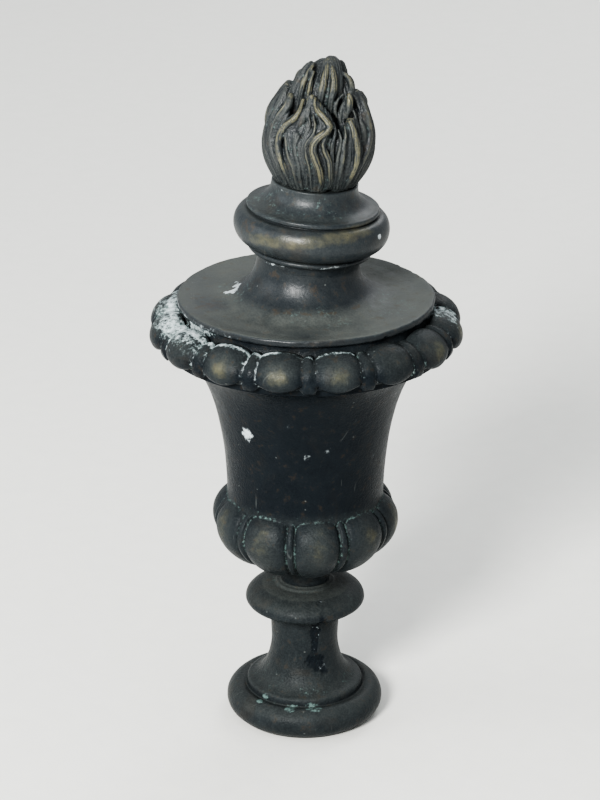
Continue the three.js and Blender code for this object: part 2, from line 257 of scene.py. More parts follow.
def layered(points, cell, seed):
    """Noise in three octaves."""
    return sum(noise(points, cell / 2**k, seed + k) / 2**k for k in range(3)) / 1.6


def bearing(points):
    """Direction of each point in degrees, from the front towards +X."""
    return np.degrees(np.arctan2(points[:, 0], -points[:, 1]))


def spot(points, direction, height, size, seed, ragged=0.5):
    """A ragged patch, 1 in its middle, round a direction and a height on a turned surface."""
    radius = np.hypot(points[:, 0], points[:, 1])
    across = (bearing(points) - direction + 180) % 360 - 180
    reach = np.hypot(np.radians(across) * radius / size[0], (points[:, 2] - height) / size[1])
    return smooth(1 - reach + ragged * layered(points, 5, seed), 0, 0.35)


class Casting:
    """A closed surface of rings round the upright axis, in millimetres."""

    def __init__(self, profile, sides):
        turn = np.linspace(0, 2 * math.pi, sides, endpoint=False)
        self.rows = len(profile)
        self.sides = sides
        self.turn = np.tile(turn, self.rows)
        radius = np.repeat(profile[:, 0], sides)
        self.points = np.column_stack(
            [radius * np.sin(self.turn), -radius * np.cos(self.turn), np.repeat(profile[:, 1], sides)]
        )
        self.profile = profile

    def outward(self):
        """Direction out of the plain turned surface at each point."""
        run = np.gradient(self.profile, axis=0)
        run /= np.linalg.norm(run, axis=1)[:, None]
        across = np.repeat(run[:, 1], self.sides)
        up = np.repeat(-run[:, 0], self.sides)
        return np.column_stack([across * np.sin(self.turn), -across * np.cos(self.turn), up])

    def faces(self):
        """Faces of the rings and of the two ends, turned outwards."""
        ring = np.arange(self.rows * self.sides).reshape(self.rows, self.sides)
        after = np.roll(ring, -1, axis=1)
        walls = np.stack([ring[:-1], after[:-1], after[1:], ring[1:]], axis=-1).reshape(-1, 4)
        foot = self.rows * self.sides
        ends = [(foot, b, a) for a, b in zip(ring[0], after[0])]
        ends += [(foot + 1, a, b) for a, b in zip(ring[-1], after[-1])]
        return walls.tolist() + ends

    def closed(self, points):
        """The points with a middle for each end."""
        first = points[: self.sides].mean(axis=0)
        last = points[-self.sides :].mean(axis=0)
        return np.vstack([points, first, last])


def new_piece(name, points, faces):
    """A mesh object at the origin, from points in millimetres."""
    mesh = bpy.data.meshes.new(name)
    mesh.from_pydata((points * MM).tolist(), [], faces)
    mesh.update()
    mesh.shade_smooth()
    piece = bpy.data.objects.new(name, mesh)
    bpy.context.scene.collection.objects.link(piece)
    return piece


def points_of(mesh):
    """A mesh's points in millimetres."""
    flat = np.empty(len(mesh.vertices) * 3)
    mesh.vertices.foreach_get("co", flat)
    return flat.reshape(-1, 3) / MM


def normals_of(mesh):
    """A mesh's point normals."""
    flat = np.empty(len(mesh.vertices) * 3)
    mesh.vertices.foreach_get("normal", flat)
    return flat.reshape(-1, 3)


def edges_of(mesh):
    """A mesh's edges as pairs of point numbers."""
    flat = np.empty(len(mesh.edges) * 2, int)
    mesh.edges.foreach_get("vertices", flat)
    return flat.reshape(-1, 2)


def averaged(values, edges, rounds):
    """Values on a mesh's points, evened out over their neighbours."""
    count = np.bincount(edges.ravel(), minlength=len(values)).clip(1)
    for _ in range(rounds):
        total = np.zeros_like(values)
        np.add.at(total, edges[:, 0], values[edges[:, 1]])
        np.add.at(total, edges[:, 1], values[edges[:, 0]])
        values = 0.5 * values + 0.5 * total / count[:, None]
    return values


def main_shell(mesh):
    """Points and faces of the largest of a mesh's separate shells."""
    points, edges = points_of(mesh), edges_of(mesh)
    label = np.arange(len(points))
    before = None
    while before is None or (label != before).any():
        before = label.copy()
        np.minimum.at(label, edges.ravel(), np.repeat(label[edges].min(axis=1), 2))
        label = label[label]
    kept = label == np.bincount(label).argmax()
    place = np.cumsum(kept) - 1
    faces = [place[list(face.vertices)].tolist() for face in mesh.polygons if kept[face.vertices[0]]]
    return points[kept], faces


def relief(mesh, rounds, depth):
    """How far each point stands above (up to 1) or below (down to -1) its surroundings."""
    points = points_of(mesh)
    even = averaged(points, edges_of(mesh), rounds)
    return np.clip(np.sum((points - even) * normals_of(mesh), axis=1) / depth, -1, 1)


def ranked(values, low, high):
    """0 for the values under a percentile and 1 for those above another, with a smooth rise."""
    return smooth(values, np.percentile(values, low), np.percentile(values, high))


def set_mask(mesh, name, values):
    """Keeps a value for each point, for the materials to read."""
    kept = mesh.attributes.new(name, "FLOAT", "POINT")
    kept.data.foreach_set("value", np.clip(values, 0, 1).astype(np.float32))


class Wiring:
    """Adds nodes to a tree and joins them."""

    def __init__(self, tree):
        self.tree = tree

    def add(self, kind, inputs=None, **settings):
        """A node with its settings, and each input set or joined."""
        made = self.tree.nodes.new(kind)
        for key, value in settings.items():
            setattr(made, key, value)
        self.fill(made, inputs or {})
        return made

    def fill(self, node, inputs):
        """Sets or joins a node's inputs."""
        for key, value in inputs.items():
            if isinstance(value, bpy.types.NodeSocket):
                self.join(value, node.inputs[key])
            else:
                node.inputs[key].default_value = value

    def calc(self, operation, *values):
        """The result of one Math node."""
        node = self.add("ShaderNodeMath", dict(enumerate(values)), operation=operation)
        return node.outputs[0]

    def cloud(self, place, scale, detail, roughness=0.5, distortion=0.0):
        """The value of a Noise Texture node."""
        settings = {"Scale": scale, "Detail": detail, "Roughness": roughness, "Distortion": distortion}
        return self.add("ShaderNodeTexNoise", {"Vector": place, **settings}).outputs[0]

    def ramp(self, value, low, high):
        """0 below low, 1 above high, and a smooth rise between them."""
        settings = {"interpolation_type": "SMOOTHSTEP"}
        return self.add("ShaderNodeMapRange", {0: value, 1: low, 2: high}, **settings).outputs[0]

    def mixed(self, factor, first, second):
        """A blend of two colours."""
        inputs = {"Factor": factor, 6: first, 7: second}
        return self.add("ShaderNodeMix", inputs, data_type="RGBA").outputs[2]

    def join(self, value, socket):
        """Leads a value to a socket."""
        self.tree.links.new(value, socket)


def new_tree(name, kind, inputs, outputs):
    """A node group with named sockets, and its wiring, input and output nodes."""
    tree = bpy.data.node_groups.new(name, kind)
    for socket, sort, default in inputs:
        made = tree.interface.new_socket(socket, in_out="INPUT", socket_type=sort)
        if default is not None:
            made.default_value = default
    for socket, sort in outputs:
        tree.interface.new_socket(socket, in_out="OUTPUT", socket_type=sort)
    wiring = Wiring(tree)
    return wiring, wiring.add("NodeGroupInput").outputs, wiring.add("NodeGroupOutput").inputs


def set_inputs(modifier, values):
    """Sets a Geometry Nodes modifier's inputs by name."""
    for item in modifier.node_group.interface.items_tree:
        if item.item_type == "SOCKET" and item.in_out == "INPUT" and item.name in values:
            modifier[item.identifier] = values[item.name]


def gadroon_tree():
    """Pushes a plain ring in between its lobes and darts, so that a row of gadroons stands out."""
    numbers = {
        "Lobes": 16.0, "Turn": 0.0, "Depth": 0.005, "Lobe share": 0.4, "Foot share": 0.3,
        "Head share": 0.8, "Head rise": 0.5, "Dart share": 0.06, "Dart flare": 0.5,
        "Dart depth": 0.002, "Groove depth": 0.0006,
    }
    w, given, result = new_tree(
        "Gadroon row",
        "GeometryNodeTree",
        [
            ("Geometry", "NodeSocketGeometry", None),
            ("Row", "NodeSocketString", "row"),
            *((name, "NodeSocketFloat", value) for name, value in numbers.items()),
            ("Skin", "NodeSocketMaterial", None),
        ],
        [("Geometry", "NodeSocketGeometry")],
    )
    calc = w.calc

    def stored(name, sort="FLOAT"):
        return w.add("GeometryNodeInputNamedAttribute", {"Name": name}, data_type=sort).outputs["Attribute"]

    def rounded(value):
        """Height of a unit circle at a distance from its middle."""
        return calc("SQRT", calc("MAXIMUM", calc("SUBTRACT", 1.0, calc("MULTIPLY", value, value)), 0.0))

    along = stored(given["Row"])
    place = calc("SUBTRACT", calc("MULTIPLY", stored("around"), given["Lobes"]), given["Turn"])
    across = calc("PINGPONG", place, 0.5)
    foot = rounded(calc("SUBTRACT", 1.0, calc("MINIMUM", calc("DIVIDE", along, given["Foot share"]), 1.0)))
    beyond = calc("SUBTRACT", along, given["Head share"])
    head_length = calc("SUBTRACT", 1.0, given["Head share"])
    head = rounded(calc("MAXIMUM", calc("DIVIDE", beyond, head_length), 0.0))
    narrowing = calc("MULTIPLY_ADD", head, 0.18, 0.82)
    half_width = calc("MULTIPLY", calc("MULTIPLY", given["Lobe share"], foot), narrowing)
    spread = calc("DIVIDE", across, calc("MAXIMUM", half_width, 1e-5))
    head_gain = calc("SUBTRACT", 1.0, given["Head rise"])
    head_full = calc("MULTIPLY_ADD", head, head_gain, given["Head rise"])
    fullness = calc("MULTIPLY", calc("SQRT", foot), head_full)
    lobe = calc("MULTIPLY", calc("MULTIPLY", rounded(spread), fullness), given["Depth"])
    flare = calc("MULTIPLY_ADD", calc("SUBTRACT", 1.0, along), given["Dart flare"], 1.0)
    dart_width = calc("MULTIPLY", given["Dart share"], flare)
    dart_round = rounded(calc("DIVIDE", calc("SUBTRACT", 0.5, across), dart_width))
    dart_face = calc("MINIMUM", calc("MULTIPLY", dart_round, 1.5), 1.0)
    dart_rise = calc("MULTIPLY_ADD", head, 0.5, 0.5)
    dart = calc("MULTIPLY", calc("MULTIPLY", dart_face, dart_rise), given["Dart depth"])
    off_edge = calc("DIVIDE", calc("ABSOLUTE", calc("SUBTRACT", spread, 1.08)), 0.1)
    groove = calc("MULTIPLY", calc("MAXIMUM", calc("SUBTRACT", 1.0, off_edge), 0.0), given["Groove depth"])
    height = calc("SUBTRACT", calc("MAXIMUM", lobe, dart), groove)
    inward = calc("SUBTRACT", height, given["Depth"])
    on_row = calc("GREATER_THAN", along, -0.5)
    push = calc("MULTIPLY", inward, on_row)
    outward = stored("outward", "FLOAT_VECTOR")
    offset = w.add("ShaderNodeVectorMath", {0: outward, "Scale": push}, operation="SCALE").outputs[0]
    moved = w.add("GeometryNodeSetPosition", {"Geometry": given["Geometry"], "Offset": offset})
    real = w.add("GeometryNodeRealizeInstances", {"Geometry": moved.outputs[0]})
    skin = w.add("GeometryNodeSetMaterial", {"Geometry": real.outputs[0], "Material": given["Skin"]})
    w.join(skin.outputs[0], result["Geometry"])
    return w.tree


def strand_tree():
    """Sweeps a round strand along each curve, as thick as the curve's own radius says."""
    w, given, result = new_tree(
        "Flame strands",
        "GeometryNodeTree",
        [
            ("Geometry", "NodeSocketGeometry", None),
            ("Strand radius", "NodeSocketFloat", 0.0015),
            ("Sides", "NodeSocketInt", 10),
            ("Skin", "NodeSocketMaterial", None),
        ],
        [("Geometry", "NodeSocketGeometry")],
    )
    section = w.add(
        "GeometryNodeCurvePrimitiveCircle",
        {"Resolution": given["Sides"], "Radius": given["Strand radius"]},
        mode="RADIUS",
    )
    thickness = w.add("GeometryNodeInputRadius").outputs[0]
    swept = w.add(
        "GeometryNodeCurveToMesh",
        {
            "Curve": given["Geometry"],
            "Profile Curve": section.outputs["Curve"],
            "Scale": thickness,
            "Fill Caps": True,
        },
    )
    real = w.add("GeometryNodeRealizeInstances", {"Geometry": swept.outputs[0]})
    skin = w.add("GeometryNodeSetMaterial", {"Geometry": real.outputs[0], "Material": given["Skin"]})
    w.join(skin.outputs[0], result["Geometry"])
    return w.tree


def evaluated_mesh(piece):
    """A plain mesh of a piece with its modifiers applied."""
    seen = piece.evaluated_get(bpy.context.evaluated_depsgraph_get())
    return bpy.data.meshes.new_from_object(seen)


def dropped(piece):
    """Takes a helper object away with its data."""
    data = piece.data
    bpy.data.objects.remove(piece)
    if isinstance(data, bpy.types.Curve):
        bpy.data.curves.remove(data)
    else:
        bpy.data.meshes.remove(data)


def patina_group():
    """Clouds of dark, slate and brown patina, with fine pitting."""
    tone = "NodeSocketColor"
    w, given, result = new_tree(
        "Bronze patina",
        "ShaderNodeTree",
        [
            ("Place", "NodeSocketVector", None),
            ("Dark", tone, (0.01, 0.01, 0.02, 1)),
            ("Pale", tone, (0.03, 0.04, 0.04, 1)),
            ("Brown", tone, (0.06, 0.04, 0.02, 1)),
            ("Deep", tone, (0.005, 0.006, 0.008, 1)),
            ("Hollow", "NodeSocketFloat", 0.0),
            ("Brown share", "NodeSocketFloat", 0.2),
            ("Stain", "NodeSocketFloat", 0.0),
            ("Dust and top light", "NodeSocketFloat", 0.0),
            ("Dust colour", tone, (0.1, 0.1, 0.09, 1)),
        ],
        [("Colour", tone), ("Gloss loss", "NodeSocketFloat"), ("Height", "NodeSocketFloat")],
    )
    place, ramp, mixed = given["Place"], w.ramp, w.mixed
    broad = ramp(w.cloud(place, 28.0, 5.0, 0.6, 0.6), 0.36, 0.68)
    fine = ramp(w.cloud(place, 190.0, 6.0, 0.65), 0.35, 0.7)
    warm = ramp(w.cloud(place, 46.0, 4.0, 0.55, 1.0), 0.52, 0.72)
    grained = ramp(w.cloud(place, 950.0, 3.0, 0.7), 0.4, 0.62)
    paling = w.calc("MULTIPLY_ADD", fine, 0.35, w.calc("MULTIPLY", broad, 0.4))
    clouded = mixed(w.calc("MULTIPLY_ADD", grained, 0.35, paling), given["Dark"], given["Pale"])
    warmed = mixed(w.calc("MULTIPLY", warm, given["Brown share"]), clouded, given["Brown"])
    # Dark patina in the hollows; the same mix gives the painted shade on the side of the plate's lip
    shaded = mixed(w.calc("MULTIPLY", given["Hollow"], 0.85), warmed, given["Deep"])
    # Dust and painted top light: olive laid where the mask marks upward and raised faces
    thin = w.calc("MULTIPLY_ADD", grained, 0.25, w.calc("MULTIPLY_ADD", fine, 0.2, 0.6))
    dust_and_top_light = w.calc("MULTIPLY", given["Dust and top light"], thin)
    dusted_and_lit = mixed(dust_and_top_light, shaded, given["Dust colour"])
    blotch = ramp(w.calc("ADD", given["Stain"], w.calc("MULTIPLY_ADD", fine, 1.6, -0.9)), 0.2, 1.0)
    w.join(mixed(w.calc("MULTIPLY", blotch, 0.4), dusted_and_lit, given["Brown"]), result["Colour"])
    matt = w.calc("MULTIPLY_ADD", fine, 0.08, w.calc("MULTIPLY", dust_and_top_light, 0.35))
    w.join(w.calc("MULTIPLY_ADD", broad, 0.08, matt), result["Gloss loss"])
    pits = ramp(w.cloud(place, 620.0, 3.0, 0.6), 0.3, 0.62)
    swell = w.calc("MULTIPLY", w.cloud(place, 230.0, 5.0, 0.6), 0.8)
    w.join(w.calc("MULTIPLY_ADD", pits, 0.6, swell), result["Height"])
    return w.tree


def rubbed_group():
    """Bare metal where the crests are rubbed, broken up by what patina is left on them."""
    w, given, result = new_tree(
        "Rubbed crests",
        "ShaderNodeTree",
        [
            ("Place", "NodeSocketVector", None),
            ("Colour", "NodeSocketColor", (0, 0, 0, 1)),
            ("Metal", "NodeSocketColor", (0.3, 0.24, 0.12, 1)),
            ("Crest", "NodeSocketFloat", 0.0),
            ("Reach", "NodeSocketFloat", 0.5),
            ("Strength", "NodeSocketFloat", 0.8),
        ],
        [("Colour", "NodeSocketColor"), ("Bare", "NodeSocketFloat")],
    )
    wear = w.cloud(given["Place"], 150.0, 6.0, 0.7)
    raised = w.calc("ADD", given["Crest"], w.calc("MULTIPLY_ADD", wear, 0.9, -0.45))
    low = w.calc("SUBTRACT", 1.0, given["Reach"])
    high = w.calc("ADD", low, 0.65)
    bare = w.calc("MULTIPLY", w.ramp(raised, low, high), given["Strength"])
    w.join(w.mixed(bare, given["Colour"], given["Metal"]), result["Colour"])
    w.join(bare, result["Bare"])
    return w.tree


def deposit_group():
    """A dry deposit with a ragged edge, thick in its middle."""
    w, given, result = new_tree(
        "Dry deposit",
        "ShaderNodeTree",
        [
            ("Place", "NodeSocketVector", None),
            ("Colour", "NodeSocketColor", (0, 0, 0, 1)),
            ("Deposit", "NodeSocketColor", (0.6, 0.6, 0.6, 1)),
            ("Mask", "NodeSocketFloat", 0.0),
            ("Grain", "NodeSocketFloat", 0.8),
            ("Strength", "NodeSocketFloat", 1.0),
        ],
        [("Colour", "NodeSocketColor"), ("Cover", "NodeSocketFloat")],
    )
    grain = w.cloud(given["Place"], 420.0, 8.0, 0.75)
    patches = w.cloud(given["Place"], 70.0, 4.0, 0.6)
    fine = w.calc("MULTIPLY", w.calc("SUBTRACT", grain, 0.5), given["Grain"])
    broken = w.calc("MULTIPLY_ADD", patches, 0.9, w.calc("SUBTRACT", fine, 0.45))
    level = w.calc("ADD", given["Mask"], broken)
    on = w.calc("GREATER_THAN", given["Mask"], 0.02)
    cover = w.calc("MULTIPLY", w.calc("MULTIPLY", w.ramp(level, 0.3, 1.0), on), given["Strength"])
    w.join(w.mixed(cover, given["Colour"], given["Deposit"]), result["Colour"])
    w.join(cover, result["Cover"])
    return w.tree


def specks_group():
    """Small pale nicks and hairline scratches."""
    w, given, result = new_tree(
        "Nicks and scratches",
        "ShaderNodeTree",
        [
            ("Place", "NodeSocketVector", None),
            ("Colour", "NodeSocketColor", (0, 0, 0, 1)),
            ("Mark", "NodeSocketColor", (0.2, 0.2, 0.19, 1)),
            ("Amount", "NodeSocketFloat", 0.5),
        ],
        [("Colour", "NodeSocketColor"), ("Height", "NodeSocketFloat")],
    )
    cells = w.add("ShaderNodeTexVoronoi", {"Vector": given["Place"], "Scale": 170.0})
    size = w.add("ShaderNodeSeparateColor", {"Color": cells.outputs["Color"]}).outputs[0]
    chosen = w.calc("GREATER_THAN", size, 0.86)
    near = w.calc("LESS_THAN", cells.outputs["Distance"], w.calc("MULTIPLY", size, 0.11))
    nick = w.calc("MULTIPLY", near, chosen)
    streaks = []
    for turn, scale in (((0.3, 0.5, 0.9), (700.0, 30.0, 60.0)), ((1.1, -0.4, 2.2), (40.0, 760.0, 50.0))):
        laid = {"Vector": given["Place"], "Rotation": turn, "Scale": scale}
        turned = w.add("ShaderNodeMapping", laid, vector_type="POINT").outputs[0]
        hair = w.cloud(turned, 1.0, 2.0)
        streaks.append(w.add("ShaderNodeMapRange", {0: hair, 1: 0.73, 2: 0.78}).outputs[0])
    scratch = w.calc("MAXIMUM", *streaks)
    marks = w.calc("MULTIPLY", w.calc("MAXIMUM", nick, w.calc("MULTIPLY", scratch, 0.6)), given["Amount"])
    w.join(w.mixed(marks, given["Colour"], given["Mark"]), result["Colour"])
    w.join(w.calc("MULTIPLY", marks, -1.0), result["Height"])
    return w.tree


def group_once(name, make):
    """A shared node group, built the first time it is asked for."""
    return bpy.data.node_groups.get(name) or make()


def bronze(name, skin):
    """A patinated bronze, with the colours, wear and gloss that its skin gives."""
    tints = bpy.context.scene.finial_colours
    material = bpy.data.materials.new(name)
    material.use_nodes = True
    material.node_tree.nodes.clear()
    w = Wiring(material.node_tree)
    place = w.add("ShaderNodeTexCoord").outputs["Object"]

    def shared(group_name, make, inputs):
        group = w.add("ShaderNodeGroup", node_tree=group_once(group_name, make))
        w.fill(group, inputs | {"Place": place})
        return group.outputs

    def mask(attribute):
        settings = {"attribute_type": "GEOMETRY", "attribute_name": attribute}
        return w.add("ShaderNodeAttribute", **settings).outputs["Fac"]

    def tint(key):
        return (*getattr(tints, key), 1)

    skin_parts = shared(
        "Bronze patina",
        patina_group,
        {
            "Dark": tint(skin["ground"]),
            "Pale": tint(skin["pale"]),
            "Deep": tint("dark"),
            "Brown": tint("brown"),
            "Hollow": mask("hollow"),
            "Brown share": skin["brown"],
            "Stain": mask("stain"),
            "Dust and top light": mask("dust_and_top_light"),
            "Dust colour": tint("olive"),
        },
    )
    rubbed = shared(
        "Rubbed crests",
        rubbed_group,
        {
            "Colour": skin_parts["Colour"],
            "Metal": tint("rubbed"),
            "Crest": mask("crest"),
            "Reach": skin["reach"],
            "Strength": skin["rub"],
        },
    )
    green = shared(
        "Dry deposit",
        deposit_group,
        {
            "Colour": rubbed["Colour"],
            "Deposit": tint("verdigris"),
            "Mask": mask("verdigris"),
            "Grain": 3.0,
            "Strength": 0.7,
        },
    )
    white = shared(
        "Dry deposit",
        deposit_group,
        {
            "Colour": green["Colour"],
            "Deposit": tint("chalk"),
            "Mask": mask("chalk"),
            "Grain": 2.4,
            "Strength": 0.85,
        },
    )
    marked = shared(
        "Nicks and scratches",
        specks_group,
        {"Colour": white["Colour"], "Mark": (0.13, 0.14, 0.135, 1), "Amount": skin["marks"]},
    )
    covered = w.calc("MAXIMUM", green["Cover"], white["Cover"])
    clear = w.calc("SUBTRACT", 1.0, covered)
    bare = w.calc("MULTIPLY", rubbed["Bare"], clear)
    metallic = w.calc("MULTIPLY", bare, 0.45)
    dulled = w.calc("MULTIPLY_ADD", covered, 0.35, w.calc("ADD", skin_parts["Gloss loss"], skin["rough"]))
    roughness = w.calc("SUBTRACT", dulled, w.calc("MULTIPLY", bare, 0.24))
    crust = w.calc("MULTIPLY", white["Cover"], 1.2)
    height = w.calc("ADD", w.calc("ADD", skin_parts["Height"], marked["Height"]), crust)
    bump = w.add(
        "ShaderNodeBump", {"Height": height, "Strength": skin["bump"], "Distance": 0.0006}
    ).outputs["Normal"]
    shader = w.add(
        "ShaderNodeBsdfPrincipled",
        {
            "Base Color": marked["Colour"],
            "Metallic": metallic,
            "Roughness": roughness,
            "Normal": bump,
            "Specular IOR Level": skin["specular"],
        },
    )
    w.add("ShaderNodeOutputMaterial", {"Surface": shader.outputs[0]})
    return material


# How each bronze looks: names of its two ground colours, shares of brown patches, how far down its
# crests are rubbed and how brightly, pale marks, roughness, depth of its grain, and gloss
SKINS = {
    "dark bronze": {
        "ground": "dark", "pale": "slate", "brown": 0.15, "reach": 0.5, "rub": 0.52,
        "marks": 0.45, "rough": 0.25, "bump": 0.35, "specular": 0.08,
    },
    "weathered bronze": {
        "ground": "slate", "pale": "lead", "brown": 0.2, "reach": 0.55, "rub": 0.5,
        "marks": 0.6, "rough": 0.33, "bump": 0.14, "specular": 0.33,
    },
    "rubbed bronze": {
        "ground": "dark", "pale": "slate", "brown": 0.1, "reach": 0.72, "rub": 0.5,
        "marks": 0.3, "rough": 0.3, "bump": 0.5, "specular": 0.4,
    },
}


def skinned(name):
    """A bronze of the table, made the first time it is asked for."""
    return bpy.data.materials.get(name) or bronze(name, SKINS[name])


def finish_casting(piece, node, material, masks):
    """Gives a piece its masks and material, and sets it in the place of its casting."""
    for name, values in masks.items():
        set_mask(piece.data, name, values)
    piece.data.materials.clear()
    piece.data.materials.append(material)
    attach(piece, BODY)
    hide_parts(node)


# Height above which more dust and painted top light lie on the knop's ring. Then the pitted streak up the
# stem in two patches:
# direction in degrees, height, half width and half height, seed and raggedness
RING_DUST_AND_LIGHT = 90
STREAK = ((17, 66, (3, 17), 21, 1.1), (20, 42, (6, 8), 22, 1.0))


def streak_over(points):
    """1 in the pitted streak of the stem."""
    return np.max([spot(points, *values) for values in STREAK], axis=0)


def make_foot():
    """The foot, its hollow sweep, the stem with a pitted streak, and the knop."""
    s = in_mm(bpy.context.scene.finial_foot)
    base = base_of("foot")
    rim_top = base + 2 * s.rim_section
    step_top = rim_top - 1 + s.step_height
    stem_waist = step_top + s.stem_sweep
    knop_base = stem_waist + s.stem_head_height
    knop_middle = knop_base + s.knop_lower
    knop_top = knop_middle + s.knop_upper
    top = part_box("foot")[1][2] / MM
    bullnose = (s.rim_radius - s.rim_section, base + s.rim_section)
    profile = np.vstack(
        [
            line((3, base), (s.seat_radius, base), 30),
            ellipse(bullnose, s.rim_section, s.rim_section, -62, 80, 40),
            [(s.step_radius + 1.4, rim_top - 0.9), (s.step_radius + 0.2, rim_top - 1.6)],
            [(s.step_radius - 0.3, step_top - 1.2)],
            level_quarter((s.step_radius - 1.2, step_top), (s.stem_radius, stem_waist), 40),
            [(s.stem_head_radius, knop_base - 1)],
            bulge_up((s.stem_head_radius + 0.9, knop_base), (s.knop_radius, knop_middle), -45, 24),
            upright_quarter((s.knop_radius, knop_middle), (s.knop_ring_radius + 0.8, knop_top), 24),
            [(s.knop_ring_radius, knop_top), (s.knop_ring_radius, knop_top + 1.5)],
            [(s.waist_radius, knop_top + 1.5), (s.waist_radius, top), (2, top)],
        ]
    )
    casting = Casting(respaced(profile, 0.85), 300)
    points = casting.points
    outward = casting.outward()
    low, high = points[:, 2] - base, top - points[:, 2]
    free = smooth(low, 0.5, 4) * smooth(high, 0.3, 2)
    uneven = 0.28 * layered(points, 26, 3) + 0.07 * layered(points, 5, 5)
    pitting = streak_over(points) * (0.35 + 0.9 * np.abs(layered(points, 2.4, 9)))
    points = points + outward * ((uneven - pitting) * free)[:, None]
    piece = new_piece("foot_casting", casting.closed(points), casting.faces())
    full = points_of(piece.data)
    raised = relief(piece.data, 40, 0.6)
    height = full[:, 2]
    greened = np.maximum.reduce(
        [
            0.7 * spot(full, -42, step_top - 3, (3, 2.4), 31),
            0.6 * spot(full, -12, rim_top - 0.5, (5, 1.3), 32),
            0.65 * spot(full, 6, rim_top + 0.3, (7, 1.5), 33),
            0.28 * smooth(-raised, 0.0, 0.6) * smooth(layered(full, 14, 35), -0.1, 0.5),
            0.1 * smooth(layered(full, 20, 36), 0.1, 0.6),
        ]
    )
    streaked = streak_over(full)
    upward = smooth(normals_of(piece.data)[:, 2], 0.1, 0.8)
    masks = {
        "crest": smooth(raised, 0.1, 0.9) * 0.25 + 0.3 * smooth(layered(full, 18, 37), 0.1, 0.6),
        "hollow": np.maximum(smooth(-raised, 0.05, 0.7), streaked * 0.6),
        "chalk": 0.36 * streaked * smooth(layered(full, 2.5, 39), 0.05, 0.35),
        "verdigris": greened,
        # Dust and painted top light: paler on upward faces, most of all on the knop's top
        "dust_and_top_light": 0.16 * (1 - streaked) + (0.2 + 0.25 * (height > RING_DUST_AND_LIGHT)) * upward,
    }
    finish_casting(piece, "foot", skinned("dark bronze"), masks)


# Rows of gadroons: number of lobes, direction of the first in degrees, and the row's place in the
# urn's list of profile parts
BOWL_LOBES, BOWL_TURN_DEG, BOWL_PART = 10, 8, 2
RIM_LOBES, RIM_TURN_DEG, RIM_PART = 16, -10.2, 5

# White chip and pale nicks of the wall: direction in degrees, height, half width and half height
WALL_CHIP = (-40, 213, (6.2, 5.2))
WALL_NICKS = (
    (-6, 216.5, (3.2, 1.5)),
    (14, 205, (2.2, 1.3)),
    (30, 196, (2.2, 2.2)),
    (53, 191, (1.7, 1.7)),
    (43, 207, (2.2, 2.2)),
    (39, 216, (2.1, 1.6)),
    (1, 201.5, (2.5, 1.2)),
    (-10, 223, (1.6, 1.4)),
    (56, 220.5, (1.4, 3)),
    (-17, 183, (1.4, 1.4)),
)


def wall_nicks(points):
    """The small pale nicks of the wall."""
    marks = [spot(points, *nick, 70 + k, 0.15) for k, nick in enumerate(WALL_NICKS)]
    return 0.36 * np.max(marks, axis=0)


